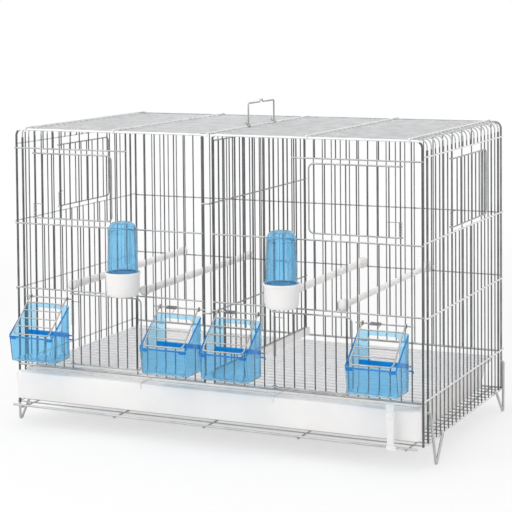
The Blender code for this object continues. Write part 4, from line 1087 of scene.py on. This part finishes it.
strip_low, strip_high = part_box("divider_strip")
low, top = strip_high.z + GAP + RAIL_R, DIVIDER_TOP_Z
front, last = FRONT_Y + SIDE_PITCH, FRONT_Y + SIDE_PITCH * (STEPS_DEEP - 1)
parts = [wire([(0, front, z), (0, last, z)], RAIL_R, plating_painted_light) for z in (low, top)]
upright = wire([(0, front + SIDE_PITCH, low), (0, front + SIDE_PITCH, top)], WIRE_R, plating_painted_deep_shade)
parts.append(repeated(upright, STEPS_DEEP - 3, (0, SIDE_PITCH, 0)))
for y in (front, last):
    parts.append(wire([(0, y, low - RAIL_R), (0, y, top + RAIL_R)], FRAME_R, plating_painted_deep_shade, 2))
beside = WIRE_R + GAP + RAIL_R
for z in HOOKS_Z:
    route = [(beside, last, z), (beside, HOOK_Y, z), (HOOK_X, HOOK_Y, z)]
    parts.append(wire(bent(route, DIVIDER_HOOK_R), RAIL_R, plating_painted_light))
dress(gathered("divider_wires", parts), "divider", "plated_wire", "divider_panel")
strip = cube_between("divider_foot", strip_low, strip_high)
rounded(strip, 0.0012, 3, lambda p, e: p.z > strip_high.z - GAP or height_of(e) > GAP)
groove = cube_between("groove", (-GROOVE_HALF, strip_low.y - GROOVE_PAST, strip_high.z - GROOVE_DEEP),
                      (GROOVE_HALF, strip_high.y + GROOVE_PAST, strip_high.z + GROOVE_PAST))
dress(coat(cut(strip, groove), white_plastic), "divider", "white_plastic", "divider_strip")

# %% [markdown]
# Tray
# The droppings tray is moulded in white plastic and draws out of the front. Its walls lean out a
# little so that it leaves its mould, and a flat rim runs round the top.

# %% Tray well
TRAY_HALF = 0.2995
TRAY_RIM, TRAY_WALL, TRAY_DRAFT, RIM_THICK = 0.006, 0.0025, 0.008, 0.002
TRAY_FRONT = FRONT_Y - 0.004
WELL_CORNER_R, TRAY_FOOT_R, RIM_CORNER_R, HOLE_CORNER_R = 0.016, 0.003, 0.018, 0.014

tray_low, tray_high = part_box("tray")
low = Vector((-TRAY_HALF, TRAY_FRONT, tray_low.z))
high = Vector((TRAY_HALF, tray_high.y, TRAY_RIM_Z))
centre = (low + high) / 2
inset = TRAY_RIM + TRAY_DRAFT
under = high.z - RIM_THICK
shell = cube_between("litter_tray", (low.x + inset, low.y + inset, low.z),
                     (high.x - inset, high.y - inset, under))
grow_x = (high.x - TRAY_RIM - centre.x) / (high.x - inset - centre.x)
grow_y = (high.y - TRAY_RIM - centre.y) / (high.y - inset - centre.y)
pick(shell, "VERT", lambda p, e: p.z > under - GAP)
bpy.ops.transform.resize(value=(grow_x, grow_y, 1))
done(shell)
rounded(shell, WELL_CORNER_R, 6, lambda p, e: height_of(e) > 0.01)
opened(shell, lambda p, e: e.normal.z > 0.9)
rounded(shell, TRAY_FOOT_R, 3, lambda p, e: p.z < low.z + GAP and len(e.link_faces) == 2)
walled(shell, TRAY_WALL)
edge = cube_between("rim", (low.x, low.y, under), (high.x, high.y, high.z))
rounded(edge, RIM_CORNER_R, 8, lambda p, e: height_of(e) > GAP and p.y > centre.y)
rounded(edge, 0.0006, 2, lambda p, e: height_of(e) < GAP)
inner = TRAY_RIM + TRAY_WALL
well = cube_between("well", (low.x + inner, low.y + inner, under - RIM_THICK),
                    (high.x - inner, high.y - inner, high.z + RIM_THICK))
cut(edge, rounded(well, HOLE_CORNER_R, 6, lambda p, e: height_of(e) > GAP))

# %% [markdown]
# Tray face
# The face is as wide as the cage and hides the gap under the front. It has rounded ends and a ledge
# behind its rolled top edge, and is moulded in one piece with the tray.

# %% Tray face
FACE_HALF = HALF_WIDTH - 0.001
FACE_LOW = BASE_Z + 0.0085
FACE_BACK = FRONT_Y - 0.0030
FACE_CORNER_R, FACE_EDGE_R, FACE_WALL = 0.0075, 0.0014, 0.0018

near, top = FRONT_Y - FACE_REACH, tray_high.z
face = cube_between("face", (-FACE_HALF, near, FACE_LOW), (FACE_HALF, FACE_BACK, top))
opened(face, lambda p, e: e.normal.z < -0.9 or e.normal.y > 0.9)
rounded(face, FACE_CORNER_R, 6, lambda p, e: p.y < near + GAP and height_of(e) > 0.01)
rounded(face, FACE_EDGE_R, 3, lambda p, e: p.z > top - GAP and len(e.link_faces) == 2)
parts = [shell, edge, walled(face, FACE_WALL)]
dress(coat(gathered("litter_tray", parts), white_plastic), "tray", "white_plastic", "tray")

# %% [markdown]
# Latch
# A white strap turns on the front of the tray. It reaches from the lowest rail down to the kick wire
# and keeps the tray from sliding out.

# %% Latch
LATCH_X = TRAY_HALF - 0.0295
LATCH_HALF = 0.0055
LATCH_THICK = 0.003
LATCH_LEAN = 0.0022
LATCH_FOOT_HALF, LATCH_FOOT_HIGH = 0.0045, 0.006
KNOB_HIGH = 0.009

low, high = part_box("tray_latch")
rear = low.y + LATCH_THICK * 1.5
strap = cube_between("strap", (LATCH_X - LATCH_HALF, rear - LATCH_THICK, low.z + GAP),
                     (LATCH_X + LATCH_HALF, rear, high.z))
shifted(strap, (LATCH_LEAN, 0, 0), lambda p, e: p.z < low.z + 0.01 and p.x < LATCH_X)
hook = cube_between("latch_foot", (LATCH_X - LATCH_FOOT_HALF, low.y, low.z),
                    (high.x, rear - GAP, low.z + LATCH_FOOT_HIGH))
knob_half = LATCH_HALF - GAP
knob = cube_between("knob", (LATCH_X - knob_half, low.y, TRAY_RIM_Z - KNOB_HIGH),
                    (LATCH_X + knob_half, high.y, TRAY_RIM_Z))
parts = [rounded(strap, 0.0010, 3), rounded(hook, 0.0011, 3), rounded(knob, 0.0012, 3)]
dress(coat(gathered("latch_strap", parts), white_plastic), "latch", "white_plastic", "tray_latch")

# %% [markdown]
# Feet
# Each foot is one bent wire. It hooks on the side, comes down in a V and hooks on again, and the
# point of the V is worn flat where it stands. The point is moved a few times until the foot fills its
# box, and is then cut flat.

# %% Feet
FOOT_R = 0.0019
FOOT_OUT = REST_OUT + RAIL_R + GAP + FOOT_R
FOOT_TOP_Z = 0.071
FOOT_SPLAY = 0.002
FOOT_REST = FOOT_R * 0.8
FOOT_HOOK = 0.0045
FOOT_BEND_R = 0.0025
FOOT_TRIES = 4
BACK_FOOT = (DEPTH - 0.0094, DEPTH - 0.0214, DEPTH - 0.0459)
FEET = {
    "front_right": (on_right, 0.010, 0.027, 0.060),
    "back_right": (on_right, *BACK_FOOT),
    "front_left": (on_left, 0.0055, 0.015, 0.0395),
    "back_left": (on_left, *BACK_FOOT),
}

for name, (place, top_y, apex_y, inner_y) in FEET.items():
    low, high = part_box("foot_" + name)
    over = BASE_Z + RAIL_R + GAP + FOOT_R
    route = [place(top_y, FOOT_OUT - FOOT_HOOK, FOOT_TOP_Z), place(top_y, FOOT_OUT, FOOT_TOP_Z)]
    route += [place(apex_y, FOOT_OUT + FOOT_SPLAY, FOOT_REST)]
    route += [place(inner_y, FOOT_OUT, over), place(inner_y, FOOT_OUT - FOOT_HOOK, over)]
    way = 1 if route[2].x > 0 else -1
    reach = max(abs(low.x), abs(high.x)) - FOOT_R
    for _ in range(FOOT_TRIES):
        bends = bent(route, FOOT_BEND_R, 6)
        lowest = min(bends, key=lambda point: point.z)
        furthest = max(abs(point.x) for point in bends)
        back = place(apex_y, 0, 0).y - lowest.y
        route[2] += Vector((way * (reach - furthest), back, FOOT_REST - lowest.z))
    piece = wire(bends, FOOT_R, plating_painted_bright_light, 3)
    only(piece)
    bpy.ops.object.mode_set(mode="EDIT")
    bpy.ops.mesh.select_all(action="SELECT")
    bpy.ops.mesh.bisect(plane_co=(0, 0, 0), plane_no=(0, 0, -1), use_fill=True, clear_outer=True)
    done(piece)
    for vertex in piece.data.vertices:
        vertex.co.z = max(vertex.co.z, 0.0)
    piece.name = "foot_wire_" + name
    dress(piece, "cage", "plated_wire", "foot_" + name)

# %% [markdown]
# Handle
# The handle is a thin bent wire with a small rise in its middle. A ring at each end turns on the
# middle bar of the roof, so the handle folds flat to either side.

# %% Handle
HANDLE_R = 0.0012
HANDLE_TOP_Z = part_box("carry_handle")[1].z - HANDLE_R - GAP / 10
BUMP_RISE = 0.0032
BUMP_FOOT, BUMP_TOP = 0.0055, 0.0025
HANDLE_BEND_R = 0.0022
HANDLE_STEPS = (8, 13)
RING_STEPS, RING_DRAWN = 24, 22
STUB = 0.00315

axis_z = TOP_Z + FLUSH + WIRE_R + RAIL_R - GAP
ring_r = RAIL_R + GAP + HANDLE_R
beside = WIRE_R + GAP + HANDLE_R
front = FRONT_Y + HANDLE_STEPS[0] * SIDE_PITCH - beside
rear = FRONT_Y + HANDLE_STEPS[1] * SIDE_PITCH + beside
middle = (front + rear) / 2
low, top = axis_z + ring_r, HANDLE_TOP_Z - BUMP_RISE
spots = [(front, low), (front, top), (middle - BUMP_FOOT, top), (middle - BUMP_TOP, HANDLE_TOP_Z)]
spots += [(middle + BUMP_TOP, HANDLE_TOP_Z), (middle + BUMP_FOOT, top), (rear, top), (rear, low)]
parts = [wire(bent([(0, y, z) for y, z in spots], HANDLE_BEND_R), HANDLE_R, plating_painted_light, 2)]
for y in (front, rear):
    turns = [step / RING_STEPS * math.tau for step in range(RING_DRAWN)]
    ring = [(ring_r * math.sin(turn), y, axis_z + ring_r * math.cos(turn)) for turn in turns]
    ring.append(Vector(ring[-1]) + Vector((-STUB, 0, STUB)))
    parts.append(wire(ring, HANDLE_R, plating_painted_light, 2))
dress(gathered("handle_wires", parts), "handle", "plated_wire", "carry_handle")
